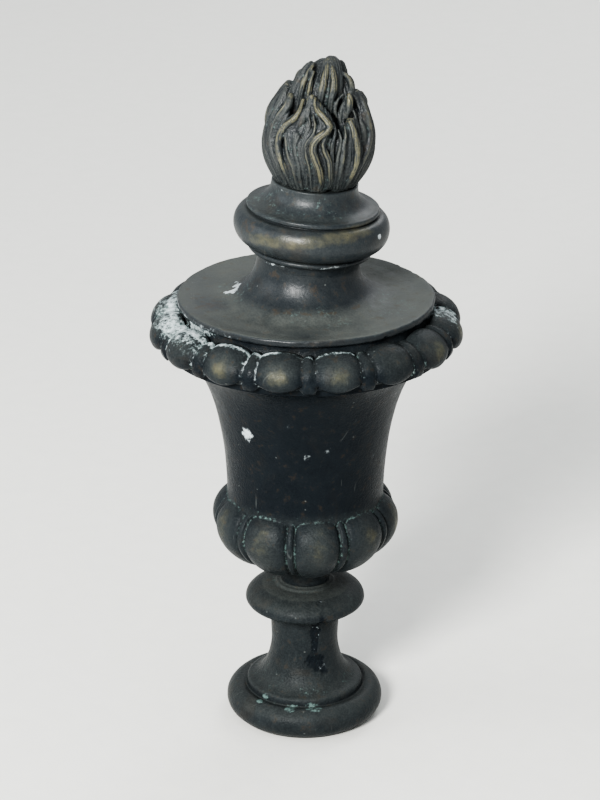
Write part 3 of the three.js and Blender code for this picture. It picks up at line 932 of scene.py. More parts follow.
def make_urn():
    """The urn: waist, gadrooned bowl, flaring wall and gadrooned rim, with crust under the cover."""
    s = in_mm(bpy.context.scene.finial_urn)
    base = base_of("urn")
    bowl_base = base + s.waist_height
    start_deg = -math.degrees(math.acos(s.bowl_foot_radius / s.bowl_radius))
    bowl_middle = bowl_base - s.bowl_lower_depth * math.sin(math.radians(start_deg))
    end_deg = math.degrees(math.acos((s.wall_foot_radius - 3) / s.bowl_radius))
    wall_base = bowl_middle + s.bowl_upper_height
    wall_top = wall_base + s.wall_height
    rim_middle = wall_top + s.rim_centre
    top = rim_middle + s.rim_top_height
    t = np.linspace(0, 1, 80)[:, None]
    corners = np.array(
        [
            (s.wall_foot_radius, wall_base),
            (s.wall_foot_radius, wall_base + 45),
            (s.wall_head_radius - 27, wall_top - 3),
            (s.wall_head_radius, wall_top),
        ]
    )
    wall = (
        (1 - t) ** 3 * corners[0]
        + 3 * t * (1 - t) ** 2 * corners[1]
        + 3 * t**2 * (1 - t) * corners[2]
        + t**3 * corners[3]
    )
    bowl = np.vstack(
        [
            ellipse((0, bowl_middle), s.bowl_radius, s.bowl_lower_depth, start_deg, 0, 42),
            ellipse((0, bowl_middle), s.bowl_radius, s.bowl_upper_depth, 0, end_deg, 24)[1:],
        ]
    )
    wall_shown = wall[wall[:, 1] > bowl[-1, 1] + 0.6][::2]
    rim = ellipse((s.rim_radius - s.rim_width, rim_middle), s.rim_width, s.rim_height, -32, 96, 66)
    fillet = s.wall_head_radius + 1.2
    parts = [
        line((2, base), (s.waist_radius, base), 3),
        line((s.waist_radius, base + 0.3), (s.waist_radius, bowl_base + 3.4), 5),
        bowl,
        wall_shown,
        line((fillet, wall_top), (fillet, wall_top + 4.8), 8),
        rim,
        line((s.rim_top_radius + 2, rim_middle + 10), (s.rim_top_radius, rim_middle + 11), 2),
        line((s.rim_top_radius, top - 0.3), (s.rim_top_radius, top), 1),
        line((s.rim_top_radius - 1, top), (2, top), 2),
    ]
    profile = np.vstack(parts)
    sizes = [len(part) for part in parts]
    casting = Casting(profile, 440)
    draft = new_piece("urn_draft", casting.closed(casting.points), casting.faces())

    def row_shares(which):
        """Place along a row of gadroons, from 0 at its foot to 1 at its head, and -1 off it."""
        values = np.full(len(profile), -1.0)
        first = sum(sizes[:which])
        values[first : first + sizes[which]] = np.linspace(0, 1, sizes[which])
        return np.append(np.repeat(values, casting.sides), [-1, -1])

    def kept(name, values, sort="FLOAT"):
        made = draft.data.attributes.new(name, sort, "POINT")
        field = "vector" if sort == "FLOAT_VECTOR" else "value"
        made.data.foreach_set(field, values.astype(np.float32).ravel())

    outward = casting.outward()
    for which in (BOWL_PART, RIM_PART):
        first = sum(sizes[:which])
        run = np.gradient(parts[which], axis=0)
        run /= np.linalg.norm(run, axis=1)[:, None]
        rows = slice(first * casting.sides, (first + sizes[which]) * casting.sides)
        across = np.repeat(run[:, 1], casting.sides)
        turn = casting.turn[rows]
        up = np.repeat(-run[:, 0], casting.sides)
        outward[rows] = np.column_stack([across * np.sin(turn), -across * np.cos(turn), up])
    kept("bowl_row", row_shares(BOWL_PART))
    kept("rim_row", row_shares(RIM_PART))
    kept("around", np.append(casting.turn / (2 * math.pi), [0, 0]))
    kept("outward", np.vstack([outward, [(0, 0, -1), (0, 0, 1)]]), "FLOAT_VECTOR")
    tree = group_once("Gadroon row", gadroon_tree)
    rows = (
        {
            "Row": "bowl_row", "Lobes": float(BOWL_LOBES),
            "Turn": BOWL_LOBES * BOWL_TURN_DEG / 360, "Depth": 3.8 * MM, "Lobe share": 0.4,
            "Foot share": 0.3, "Head share": 0.8, "Head rise": 0.45, "Dart share": 0.055,
            "Dart flare": 0.3, "Dart depth": 2.0 * MM, "Groove depth": 0.7 * MM,
        },
        {
            "Row": "rim_row", "Lobes": float(RIM_LOBES), "Turn": RIM_LOBES * RIM_TURN_DEG / 360,
            "Depth": 5.0 * MM, "Lobe share": 0.4, "Foot share": 0.3, "Head share": 0.93,
            "Head rise": 0.78, "Dart share": 0.095, "Dart flare": 0.35, "Dart depth": 3.0 * MM,
            "Groove depth": 0.8 * MM,
        },
    )
    for values in rows:
        modifier = draft.modifiers.new(values["Row"], "NODES")
        modifier.node_group = tree
        set_inputs(modifier, values | {"Skin": skinned("dark bronze")})
    points = points_of(evaluated_mesh(draft))[:-2]
    dropped(draft)

    radius = np.hypot(points[:, 0], points[:, 1])
    height = points[:, 2]
    core = np.vstack([[(s.wall_foot_radius - 3.8, bowl_middle)], wall])
    least = np.interp(height, core[:, 1], core[:, 0])
    inside = (height > bowl_middle) & (height < wall_top) & (radius < least)
    grow = np.where(inside, least / radius, 1.0)
    points[:, :2] *= grow[:, None]
    free = smooth(height, base, base + 3) * smooth(top - height, 0.2, 3)
    wall_zone = smooth(height, wall_base, wall_base + 12) * smooth(wall_top - height, 0, 8)
    uneven = 0.3 * layered(points, 34, 41) + 0.1 * layered(points, 7, 44)
    ledge = 0.35 * smooth(layered(points, 9, 47), 0.2, 0.5) * (1 - wall_zone)
    blob = spot(points, *WALL_CHIP, 50, 0.5)
    crust = crust_mask(points, rim_middle)
    lump = 0.5 + 0.5 * layered(points, 2.6, 52)
    push = (uneven - ledge * 0.4) * free + 0.5 * blob * lump + 0.55 * crust * lump
    points = points + outward * push[:, None]
    piece = new_piece("urn_casting", casting.closed(points), casting.faces())

    full = points_of(piece.data)
    raised = relief(piece.data, 36, 1.6)
    height = full[:, 2]
    ahead = bearing(full)
    on_rim = smooth(height, wall_top + 2, wall_top + 5)
    on_bowl = 1 - smooth(height, wall_base + 2, wall_base + 8)
    grooves = smooth(-raised, 0.08, 0.6)
    rim_crown = row_crown(casting.turn, row_shares(RIM_PART), RIM_LOBES, RIM_TURN_DEG, 0.4)
    bowl_crown = row_crown(casting.turn, row_shares(BOWL_PART), BOWL_LOBES, BOWL_TURN_DEG, 0.66)
    handled_and_back_shade = 0.55 + 0.45 * smooth(layered(full, 40, 54), -0.5, 0.3)
    # The back gets less rub and less dust and top light, kept darker there against the lamp behind: painted
    # shade
    handled_and_back_shade *= 0.5 + 0.5 * smooth(np.cos(np.radians(ahead)), -0.3, 0.3)
    patchy = 0.6 + 0.8 * layered(full, 16, 55)
    masks = {
        "crest": (0.8 * rim_crown + 1.1 * bowl_crown) * handled_and_back_shade
        + 0.2 * smooth(layered(full, 20, 53), 0.2, 0.7) * on_bowl,
        "hollow": np.maximum(grooves, 0.7 * smooth(height, wall_base, wall_base + 9) * (1 - on_rim)),
        "chalk": np.maximum.reduce(
            [
                crust_mask(full, rim_middle),
                0.9 * spot(full, *WALL_CHIP, 50, 0.5),
                wall_nicks(full),
                0.72 * on_rim * grooves**1.2 * smooth(ahead, -120, -80) * smooth(20 - ahead, 0, 50) * patchy,
                0.32 * on_rim * grooves,
            ]
        ),
        "verdigris": 0.72 * on_bowl * smooth(-raised, -0.1, 0.4) * (0.7 + 0.3 * layered(full, 12, 57))
        + 0.5 * on_rim * smooth(-raised, -0.1, 0.4) * smooth(layered(full, 22, 58), -0.2, 0.4)
        + 1.1 * crust_mask(full, rim_middle),
        # Dust and painted top light on the rim's upward faces and on the lobes
        "dust_and_top_light": 0.25 * smooth(normals_of(piece.data)[:, 2], 0.1, 0.9) * on_rim
        + 0.32 * (rim_crown + bowl_crown) * handled_and_back_shade
        + 0.14 * on_bowl,
    }
    finish_casting(piece, "urn", skinned("dark bronze"), masks)


def row_crown(turn, along, lobes, start_deg, level):
    """1 in the middle of each lobe, at a share of its height, and 0 at its edges."""
    place = np.append(turn, [0, 0]) / (2 * math.pi) * lobes - start_deg / 360 * lobes
    across = np.abs(place - np.round(place))
    reach = 0.34
    return np.clip(1 - (across / reach) ** 2 - ((along - level) / reach) ** 2, 0, 1)


def crust_mask(points, rim_middle):
    """White crust that has run out of the joint under the cover, most of it on the left."""
    ahead = bearing(points)
    radius, height = np.hypot(points[:, 0], points[:, 1]), points[:, 2]
    near_joint = smooth(101 - radius, 0, 10) * smooth(height, rim_middle + 2, rim_middle + 9)
    left = smooth(ahead, -125, -100) * smooth(-ahead, 34, 56)
    right = 0.85 * smooth(ahead, 70, 80) * smooth(100 - ahead, 0, 10)
    front = 0.9 * smooth(2 - np.abs(radius - 83), 0, 1.2) * smooth(ahead, -60, -30) * smooth(26 - ahead, 0, 6)
    ragged = 0.55 + 0.5 * layered(points, 12, 61) + 0.4 * layered(points, 3, 64)
    joint = 0.5 * smooth(3 - np.abs(radius - 84), 0, 2.5) * smooth(ahead, -120, -90) * smooth(-ahead, 0, 40)
    return np.clip(near_joint * ((left + right + front) * ragged + joint), 0, 0.68)


def leaning(points, pivot, head, lean):
    """Bends points towards +X above the plate, as the neck is bent."""
    bent = lean * smooth(points[:, 2], pivot, head)
    rise = points[:, 2] - pivot
    across = points[:, 0] * np.cos(bent) + rise * np.sin(bent)
    up = rise * np.cos(bent) - points[:, 0] * np.sin(bent)
    return np.column_stack([across, points[:, 1], up + pivot])


# Heights of the cover's mouldings above the neck, in millimetres
RING_GAP = 2.4
RING_LOWER = 11.6
RING_UPPER = 9.6
DISC_HEIGHT = 4.2
COLLAR_SWEEP = 13
COLLAR_HEIGHT = 1.6

# Middle of the white chip on the plate: to the left of the axis and a little behind it
PLATE_CHIP = (-44.5, 6)


def cover_heights(s):
    """Heights of the cover's parts before it is bent, in millimetres."""
    base = base_of("cover")
    plate_top = base + s.plate_thickness
    neck_top = plate_top + s.neck_sweep + s.neck_head_height
    ring_base = neck_top + RING_GAP
    ring_middle = ring_base + RING_LOWER
    ring_top = ring_middle + RING_UPPER
    disc_top = ring_top + DISC_HEIGHT
    collar_base = disc_top + COLLAR_SWEEP
    return base, plate_top, neck_top, ring_base, ring_middle, ring_top, disc_top, collar_base


def make_cover():
    """The cover: a thin dished plate with an uneven lip, the bent neck and the ring moulding."""
    s = in_mm(bpy.context.scene.finial_cover)
    heights = cover_heights(s)
    base, plate_top, neck_top, ring_base, ring_middle, ring_top, disc_top, collar_base = heights
    top = collar_base + COLLAR_HEIGHT
    rim = s.plate_radius
    plate_middle = plate_top - s.plate_dish
    neck_waist = plate_top + s.neck_sweep
    bead = neck_top - 0.5
    shown = np.vstack(
        [
            [(rim - 1, base), (rim, base + 0.6), (rim, plate_top - 1), (rim - 0.8, plate_top)],
            [(rim - 3, plate_top), (rim - 10, plate_middle)],
            level_quarter((s.neck_foot_radius, plate_middle), (s.neck_radius, neck_waist), 40),
            [(s.neck_head_radius, bead - 2.2)],
            ellipse((36, bead), 2.5, 2, -85, 85, 10),
            [(35.6, bead + 2.3), (36, ring_base), (37.4, ring_base + 0.1)],
            level_quarter((38.4, ring_base + 0.3), (s.ring_radius, ring_middle), 24),
            upright_quarter((s.ring_radius, ring_middle), (41.4, ring_top), 24),
            [(39.4, ring_top), (39.4, ring_top + 1), (s.disc_radius, ring_top + 1)],
            [(s.disc_radius, disc_top - 0.6)],
            level_quarter((s.disc_radius - 1, disc_top), (s.collar_radius, collar_base), 24),
            [(s.collar_radius, top), (s.collar_radius - 4, top)],
        ]
    )
    hidden = line((3, base), (rim - 2, base), 6)
    seat = line((s.collar_radius - 5, top), (2, top), 4)
    casting = Casting(np.vstack([hidden, respaced(shown, 0.62, 1), seat]), 320)
    points = casting.points
    outward = casting.outward()
    radius = np.hypot(points[:, 0], points[:, 1])
    height = points[:, 2]
    free = smooth(height, base + 0.1, base + 1.5) * smooth(top - height, 0.3, 2)
    uneven = 0.35 * layered(points, 30, 71) + 0.08 * layered(points, 6, 74)
    lip = smooth(radius, rim - 5, rim - 1)
    ragged = 0.9 * lip * layered(points, 14, 76) - 0.5 * lip * smooth(layered(points, 4, 78), 0.25, 0.6)
    scrape = 0.5 * spot(points, 122, plate_top, (14, 6), 79, 0.3)
    points = points + outward * ((uneven - scrape) * free)[:, None]
    points[:, :2] *= (1 + ragged / rim * (height < plate_top + 1))[:, None]
    points = leaning(points, plate_top, neck_top, bpy.context.scene.finial_cover.lean)
    piece = new_piece("cover_casting", casting.closed(points), casting.faces())

    full = points_of(piece.data)
    raised = relief(piece.data, 40, 0.8)
    radius = np.hypot(full[:, 0], full[:, 1])
    height = full[:, 2]
    ahead = bearing(full)
    tilted = height - full[:, 0] * math.sin(bpy.context.scene.finial_cover.lean)
    # A worn gold belt round the moulding at the height of its highlight, rubbed only on the front: wear and
    # painted highlight
    gold_belt_and_highlight = smooth(8.5 - np.abs(tilted - ring_middle - 4), 0, 7) * (radius > s.neck_radius + 6)
    joint = smooth(1.3 - np.abs(tilted - bead + 2.1), 0, 1) + 0.5 * smooth(tilted, top - 0.9, top)
    front = smooth(np.cos(np.radians(ahead)), 0.1, 0.8)
    plate = smooth(radius, 40, 62) * smooth(plate_top + 8 - height, 0, 8)
    neck = 1 - 0.4 * smooth(height, ring_base, ring_base + 3)
    band = 0.9 + 0.1 * smooth(layered(full, 13, 82), -0.4, 0.3)
    ring_line = smooth(2 - np.abs(radius - 43.5), 0, 1.8) * smooth(300 - height, 0, 4)
    worn_circle = ring_line * smooth(58 - np.abs(ahead - 2), 0, 20) * smooth(layered(full, 5, 81), -0.7, 0.1)
    cloud = smooth(1 - np.hypot((full[:, 0] + 61) / 17, (full[:, 1] + 14) / 22), 0, 0.8)
    dust_and_light_spread = 0.8 + 0.7 * layered(full, 34, 88) + 0.25 * layered(full, 8, 89) - 0.6 * cloud
    masks = {
        "crest": (0.72 * gold_belt_and_highlight + 0.2 * (1 - plate) * smooth(raised, 0.15, 0.8)) * front * band
        + 0.35 * worn_circle,
        "hollow": np.maximum(smooth(-raised, 0.08, 0.6), 0.5 * neck * (1 - plate))
        # Painted shade on the side of the plate's lip
        + 0.8 * (radius > rim - 4) * smooth(plate_top - height, 0.3, 1.2),
        "chalk": np.maximum.reduce(
            [
                lip_chalk(full, rim, plate_top),
                0.95 * plate_chip(full, PLATE_CHIP, plate_top),
                0.9 * spot(full, 61, ring_middle, (2, 2), 90, 1.6),
                0.56 * joint * smooth(layered(full, 3, 85), -0.6, 0.3) * front,
            ]
        ),
        "verdigris": 0.25 * smooth(layered(full, 24, 86), 0.15, 0.6) + 0.12 * (height > disc_top),
        "stain": worn_circle
        + 0.7 * spot(full, 8, plate_top + 16, (5, 5), 92, 1.0)
        + 0.6 * spot(full, -38, plate_top + 20, (5, 4), 93, 1.0)
        + 0.6 * spot(full, -52, ring_middle + 9, (8, 4), 94, 0.8)
        + 0.4 * cloud * plate,
        # Dust and painted top light: the plate's upward faces are made paler where the light falls on them
        "dust_and_top_light": smooth(normals_of(piece.data)[:, 2], 0.75, 0.98) * (0.3 + 0.7 * (height < ring_base)) * dust_and_light_spread
        + 0.06 * (height > disc_top),
    }
    finish_casting(piece, "cover", skinned("weathered bronze"), masks)


def plate_chip(points, middle, plate_top):
    """A ragged white chip on the plate, its middle given as two distances from the axis."""
    across, back = points[:, 0] - middle[0], points[:, 1] - middle[1]
    upright = 1 - np.hypot((across - 1.4) / 2.4, back / 9.5)
    foot = 1 - np.hypot((across + 1.6) / 4.8, (back + 6.5) / 4)
    on_plate = np.abs(points[:, 2] - plate_top - 2) < 4
    return on_plate * smooth(np.maximum(upright, foot) + 1.1 * layered(points, 3.4, 84), 0.1, 0.3)


def lip_chalk(points, rim, plate_top):
    """Traces of the joint's crust on the edge of the plate."""
    radius = np.hypot(points[:, 0], points[:, 1])
    ahead = bearing(points)
    edge = smooth(radius, rim - 2, rim) * smooth(plate_top - points[:, 2], 0.6, 2.5)
    left = 0.75 * smooth(ahead, -125, -95) * smooth(-ahead, 20, 60)
    right = 0.6 * smooth(ahead, 68, 78) * smooth(105 - ahead, 0, 14)
    return edge * (left + right) * (0.55 + 0.6 * layered(points, 7, 87))


def crown_radius(s, height):
    """Outer surface of the crown of tongues at a height above the collar."""
    above = np.clip((height - s.belly_height) / (s.height - s.belly_height), 0, 1)
    below = np.sin(math.pi / 2 * np.clip(height / s.belly_height, 0, 1))
    lower = s.foot_radius + (s.radius - s.foot_radius) * below
    return np.where(height < s.belly_height, lower, s.radius * (1 - above**2.5))


def bundle_radius(s, height):
    """Outer surface of the inner bundle at a height above the collar."""
    return s.bundle_radius * (1 - np.clip(height / s.height, 0, 1) ** 7)


# Tongues of the crown: directions of foot and tip in degrees, height, half width, half depth,
# sway in degrees and its phase
CROWN = (
    (-76, -68, 57, 10.5, 5, 3, 0.3),
    (-52, -55, 57, 7, 4, 4, 0.7),
    (-26, -28, 57, 8, 5, -12, 0.36),
    (4, -7, 58.5, 8.5, 5.4, 12, 0.54),
    (42, 38, 47, 9.5, 4.8, 3, 0.1),
    (76, 70, 59.5, 12, 5, 3, 0.8),
    (124, 118, 54, 10, 5, 7, 0.5),
    (164, 160, 58, 10, 5, 8, 0.1),
    (204, 200, 52, 10, 5, 8, 0.6),
    (243, 241, 57, 10, 5, 7, 0.2),
)

# The same for the back of the bundle inside the crown
BUNDLE = (
    (66, 62, 73, 7, 4.6, 5, 0.5),
    (120, 120, 70, 7.5, 4.4, 6, 0.5),
    (180, 178, 71, 7.5, 4.4, 6, 0.2),
    (240, 238, 68, 7.5, 4.4, 6, 0.8),
)

# Its front: half depth, then points along each tongue as distance to the right of the axis and in
# front of it, height and half width
BUNDLE_FRONT = (
    (4.6, ((-16, 8, 38, 6.5), (-15.2, 10, 52, 6.2), (-13, 10, 62, 5.2), (-10, 8.5, 70, 4.2),
     (-7, 6.5, 76, 2.2))),
    (6.5, ((3, 10, 38, 8), (3, 11.5, 54, 7.8), (3.4, 11, 64, 7.2), (4.4, 7.5, 73, 6),
     (3.9, 3.5, 79, 4.6))),
    (5.0, ((10, 1, 46, 6), (10.6, 2.5, 66, 4.8), (8.2, 1, 76, 3.8))),
    (5.0, ((15.6, 5, 38, 4.6), (16.2, 5, 56, 3.6), (15.6, 4.5, 63, 3.2), (14.2, 3.5, 68, 2.4))),
    (3.4, ((14.5, 15, 36, 6), (14.3, 16, 48, 5.2), (15.6, 15.4, 55, 3.8), (15.8, 14.4, 60, 2.4))),
)


def tongue_line(values, t):
    """Direction in degrees along the middle of a tongue, from its foot, 0, to its tip, 1."""
    turn, tip, _, _, _, sway, phase = values
    return turn + (tip - turn) * t + sway * t * np.cos(2 * math.pi * (2 * t - phase))


def swept_body(place, width, depth, behind):
    """Points and faces of a flattened body along a path, its flat side turned away from a line."""
    sides = 20
    along = np.gradient(place, axis=0)
    along /= np.linalg.norm(along, axis=1)[:, None]
    out = place * (1, 1, 0) - (0, behind, 0)
    out -= along * np.sum(out * along, axis=1)[:, None]
    out /= np.linalg.norm(out, axis=1)[:, None]
    side = np.cross(along, out)
    turn = np.linspace(0, 2 * math.pi, sides, endpoint=False)
    across = np.sign(np.cos(turn)) * np.abs(np.cos(turn)) ** 0.8
    outward = np.where(np.sin(turn) > 0, np.sin(turn), 0.8 * np.sin(turn))
    points = (
        place[:, None]
        + side[:, None] * (across[None, :, None] * width[:, None, None])
        + out[:, None] * (outward[None, :, None] * depth[:, None, None])
    )
    ring = np.arange(len(place) * sides).reshape(len(place), sides)
    after = np.roll(ring, -1, axis=1)
    walls = np.stack([ring[:-1], ring[1:], after[1:], after[:-1]], axis=-1).reshape(-1, 4).tolist()
    ends = [ring[0].tolist(), ring[-1][::-1].tolist()]
    return points.reshape(-1, 3), walls + ends


def tongue_body(s, values, radius_at, start):
    """One smooth tongue that follows the flame's skin, in millimetres above the collar."""
    _, _, rise, width, depth, _, _ = values
    t = np.linspace(0, 1, 41)
    height = start + (rise - start) * t
    direction = np.radians(tongue_line(values, t))
    swell = (0.7 + 0.3 * np.sin(math.pi * np.clip(1.25 * t, 0, 1))) * np.sqrt(1 - (0.97 * t) ** 4)
    thick = depth * (0.35 + 0.65 * swell)
    radius = np.maximum(radius_at(s, height) - thick * 0.8 - 1.4, 1.5)
    place = np.column_stack([radius * np.sin(direction), -radius * np.cos(direction), height])
    return swept_body(place, width * swell, thick, 0)


def front_body(depth, points):
    """One tongue at the front of the bundle, through its points and rounded at its tip."""
    right, ahead, height, width = evenly(points, 1.5).T
    left = height[-1] - height
    share = np.sqrt(np.clip(left / 3 + 0.3, 0, 1))
    place = np.column_stack([right, -ahead, height])
    return swept_body(place, width * share, depth * width / width.max() * share, 10)


def evenly(points, step):
    """Points of a smooth path through the given ones, a step apart."""
    points = np.array(points, float)
    run = np.concatenate([[0], np.cumsum(np.linalg.norm(np.diff(points[:, :3], axis=0), axis=1))])
    fine = np.linspace(0, run[-1], int(run[-1] / step) + 2)
    path = np.column_stack([np.interp(fine, run, column) for column in points.T])
    for _ in range(4):
        path[1:-1] = (path[:-2] + 2 * path[1:-1] + path[2:]) / 4
    return path


# Ridges that stand out on the front of the crown: half thickness and lift above the crown in
# millimetres, how far each is rubbed and from what height, then points of direction and height
CROWN_RIDGES = (
    (1.9, -0.6, 0.25, 20, ((-54, 2), (-56, 10), (-60, 16), (-66, 23), (-71, 30), (-72, 38),
     (-74, 46), (-77, 53), (-78, 58))),
    (1.7, 0.2, 0.55, 46, ((-43, 2), (-47, 15), (-54, 24), (-58, 31), (-58, 38), (-54, 46),
     (-50, 52), (-55, 57))),
    (2.2, 0.9, 0.85, 14, ((-33, 3), (-35, 12), (-38, 19), (-42, 24), (-44, 30), (-43, 36),
     (-38, 42), (-30, 46), (-26, 51), (-28, 57))),
    (1.3, 0.2, 0.35, 6, ((-25, 4), (-25, 11), (-26, 17), (-30, 22), (-34, 27), (-36, 33),
     (-41, 39))),
    (2.0, -2.0, 0, 0, ((-30, 4), (-32, 12), (-34, 20), (-37, 27), (-40, 33))),
    (1.1, -2.8, 0, 0, ((-19, 3), (-20, 12), (-20, 18), (-23, 24), (-26, 31), (-24, 37), (-20, 44))),
    (1.3, -0.8, 0.1, 20, ((-12, 3), (-12, 10), (-14, 18), (-18, 25), (-18, 32), (-15, 38),
     (-12, 44), (-16, 49), (-20, 53))),
    (1.5, 0.1, 0.35, 14, ((-5, 3), (-6, 8), (-9, 20), (-12, 26), (-14, 32), (-11, 36), (-6, 40),
     (-6, 45), (-10, 50))),
    (2.4, 1.2, 1.0, 9, ((4, 2), (6, 7), (2, 17), (-2, 23), (-6, 29), (-6, 34), (-2, 38), (6, 41),
     (10, 44), (7, 47), (0, 50), (-8, 54), (-11, 58))),
    (1.8, 0.6, 0.5, 12, ((15, 3), (16, 8), (12, 18), (10, 25), (5, 30), (3, 34), (6, 38),
     (10, 42))),
    (1.3, -1.0, 0.1, 10, ((20, 3), (19, 7), (16, 16), (14, 24), (13, 31), (14, 36), (17, 41),
     (15, 46))),
    (1.3, -0.8, 0.1, 10, ((25, 3), (23, 7), (20, 18), (20, 25), (22, 32), (23, 37), (20, 42))),
    (1.5, -0.2, 0.3, 12, ((30, 3), (27, 8), (25, 19), (26, 26), (26, 32), (28, 38), (28, 44))),
    (2.4, 1.0, 0.75, 12, ((40, 3), (39, 7), (38, 15), (40, 22), (40, 29), (38, 35), (36, 42),
     (34, 47))),
    (1.3, -2.4, 0, 0, ((45, 3), (43, 12), (44, 22), (48, 28), (50, 36), (48, 45), (48, 53))),
    (1.9, 0.0, 0.4, 20, ((49, 3), (47, 14), (50, 20), (58, 27), (63, 34), (64, 42), (66, 49),
     (68, 56), (70, 60))),
)

# The same for the bundle, with points as distance to the right of the axis, distance in front of
# it, and height
BUNDLE_RIDGES = (
    (1.8, 0.6, 62, ((-13.5, 13.5, 50), (-13, 14.3, 58), (-12, 14.2, 65), (-9.8, 12.8, 70),
     (-7, 10.5, 75))),
    (1.6, 0.6, 58, ((-9.5, 14, 46), (-8.6, 15, 54), (-8, 15.2, 60), (-7.6, 14.4, 66),
     (-6, 12, 72))),
    (2.3, 0.9, 63, ((-2, 17.6, 46), (-1.4, 18, 56), (-0.5, 17.8, 63), (0.4, 15.8, 69),
     (1.4, 12.6, 73.5), (2.4, 9, 77))),
    (2.3, 0.9, 63, ((5.2, 17.6, 46), (5, 18.2, 56), (6, 17.8, 63), (6, 15.8, 68.5),
     (4.6, 12.4, 73.5), (3.6, 9, 77))),
    (1.5, 0.1, 60, ((9.5, 14.5, 50), (10, 13, 58), (10.4, 11, 66), (9.6, 8, 73), (8, 5, 78))),
    (1.8, 0.45, 63, ((17.4, 8.5, 54), (17.2, 9, 62), (16.2, 9, 66), (13.8, 8.5, 69),
     (11.6, 8.5, 71))),
    (2.2, 0.95, 55, ((15, 18.4, 46), (16.4, 18.2, 54), (16.4, 17.6, 58), (15.2, 17, 61))),
    (1.2, 0.15, 40, ((14.2, 20, 41), (12.2, 19.2, 43.5), (8.2, 18.6, 48.5), (7.6, 18.2, 52),
     (9.6, 17.4, 57.5), (12.5, 16.5, 60.5))),
)

# Upper edge of the crown: direction in degrees and height, from tip to notch to tip
CROWN_EDGE = (
    ((-180, 50), (-160, 49), (-156, 44), (-140, 40), (-120, 56), (-100, 42), (-78, 59), (-64, 50), (-56, 58))
    + ((-46, 43), (-28, 56), (-20, 48), (-10, 57), (4, 46), (20, 40), (36, 46), (48, 44), (64, 56), (76, 60))
    + ((94, 52), (104, 42), (118, 53), (138, 42), (160, 57), (180, 50))
)


def back_ridges(tongues, start):
    """Ridges along the middle of the tongues at the back, which the photograph doesn't show."""
    thick, lift, rub, low = 2.2, 0.5, 0.4, 12
    found = []
    for values in tongues:
        t = np.linspace(0, 1, 14)
        height = start + (values[2] - start) * t
        found.append((thick, lift, rub, low, tuple(zip(tongue_line(values, t), height))))
    return found


def strand_path(s, radius_at, lift, points):
    """A smooth path over the flame through points of direction and height."""
    direction, height = np.array(points, float).T
    rough = np.column_stack([direction * 0.5, np.zeros(len(points)), height])
    path = evenly(rough, 1.1)
    t = np.linspace(0, 1, len(path))
    height = path[:, 2]
    sink = 0.6 + 1.2 * smooth(t, 0.86, 1)
    reach = np.maximum(radius_at(s, height) + lift * smooth(t, 0, 0.25) - sink, 3.8)
    turn = np.radians(path[:, 0] / 0.5)
    return np.column_stack([reach * np.sin(turn), -reach * np.cos(turn), height])


def tapered(thick, count):
    """Half thickness along a strand, less towards its ends."""
    t = np.linspace(0, 1, count)
    return thick * (0.62 + 0.38 * np.sin(math.pi * np.clip(t * 1.05, 0, 1))) * (1 - 0.2 * smooth(t, 0.85, 1))


def strand_lines(s):
    """Path, half thickness and rub of each ridge, and the height from which it is rubbed."""
    found = []
    crown = list(CROWN_RIDGES) + back_ridges(CROWN[6:], 2)
    for ridges, radius_at in ((crown, crown_radius), (back_ridges(BUNDLE, 40), bundle_radius)):
        for thick, lift, rub, low, points in ridges:
            found.append((strand_path(s, radius_at, lift, points), thick, rub, low))
    for thick, rub, low, points in BUNDLE_RIDGES:
        right, ahead, height = evenly(points, 1.1).T
        found.append((np.column_stack([right, -ahead, height]), thick, rub, low))
    return found


def flow_table(tracks):
    """For each millimetre of height and degree of direction, the direction at the foot that leads there."""
    levels = np.arange(0, 84)
    tracks = sorted(tracks, key=lambda track: track[0, 0])
    at_level = np.array([np.interp(levels, track[:, 1], track[:, 0]) for track in tracks])
    feet = at_level[:, 0]
    turns = np.arange(-180, 182)
    rows = []
    for row in at_level.T:
        row = np.maximum.accumulate(row + np.arange(len(row)) * 0.01)
        around = np.concatenate([row - 360, row, row + 360])
        rows.append(np.interp(turns, around, np.concatenate([feet - 360, feet, feet + 360])))
    return np.array(rows)


def flowing(table, points):
    """The direction at the foot that leads to each point."""
    turn = bearing(points) + 180
    level = np.clip(points[:, 2], 0, len(table) - 2)
    row, column = level.astype(int), turn.astype(int)
    t, u = level - row, turn - column
    lower = table[row, column] * (1 - u) + table[row, column + 1] * u
    upper = table[row + 1, column] * (1 - u) + table[row + 1, column + 1] * u
    return lower * (1 - t) + upper * t


def strand_relief(flow, width, seed):
    """Rounded strands side by side with sharp grooves between, 0 in a groove and 1 on a strand."""
    random = np.random.default_rng(seed)
    steps = np.cumsum(random.uniform(0.6, 1.4, int(480 / width)) * width) - 240
    after = np.clip(np.searchsorted(steps, flow), 1, len(steps) - 1)
    across = (flow - steps[after - 1]) / (steps[after] - steps[after - 1])
    return np.sqrt(np.clip(1 - (2 * np.clip(across, 0, 1) - 1) ** 2, 0, 1))


def strands_over(s, points):
    """Height of the fine strands that flow between the ridges, from 0 to 1."""
    crown = [np.array(values[4], float) for values in CROWN_RIDGES]
    crown += [np.array(values[4], float) for values in back_ridges(CROWN[6:], 2)]
    bundle = []
    for values in BUNDLE_RIDGES[:6]:
        right, ahead, height = np.array(values[3], float).T
        bundle.append(np.column_stack([np.degrees(np.arctan2(right, ahead)), height]))
    bundle += [np.array(values[4], float) for values in back_ridges(BUNDLE[1:], 40)]
    wander = 1.2 * layered(points, 9, 101)
    found = []
    for tracks, width in ((crown, 4.0), (bundle, 7.0)):
        flow = flowing(flow_table(tracks), points) + wander
        coarse = strand_relief(flow, width, 102)
        fine = strand_relief(flow, width * 0.45, 103)
        found.append(0.7 * coarse + 0.3 * fine)
    outer = smooth(np.hypot(points[:, 0], points[:, 1]) - bundle_radius(s, points[:, 2]), 2.5, 4)
    return found[1] + (found[0] - found[1]) * outer


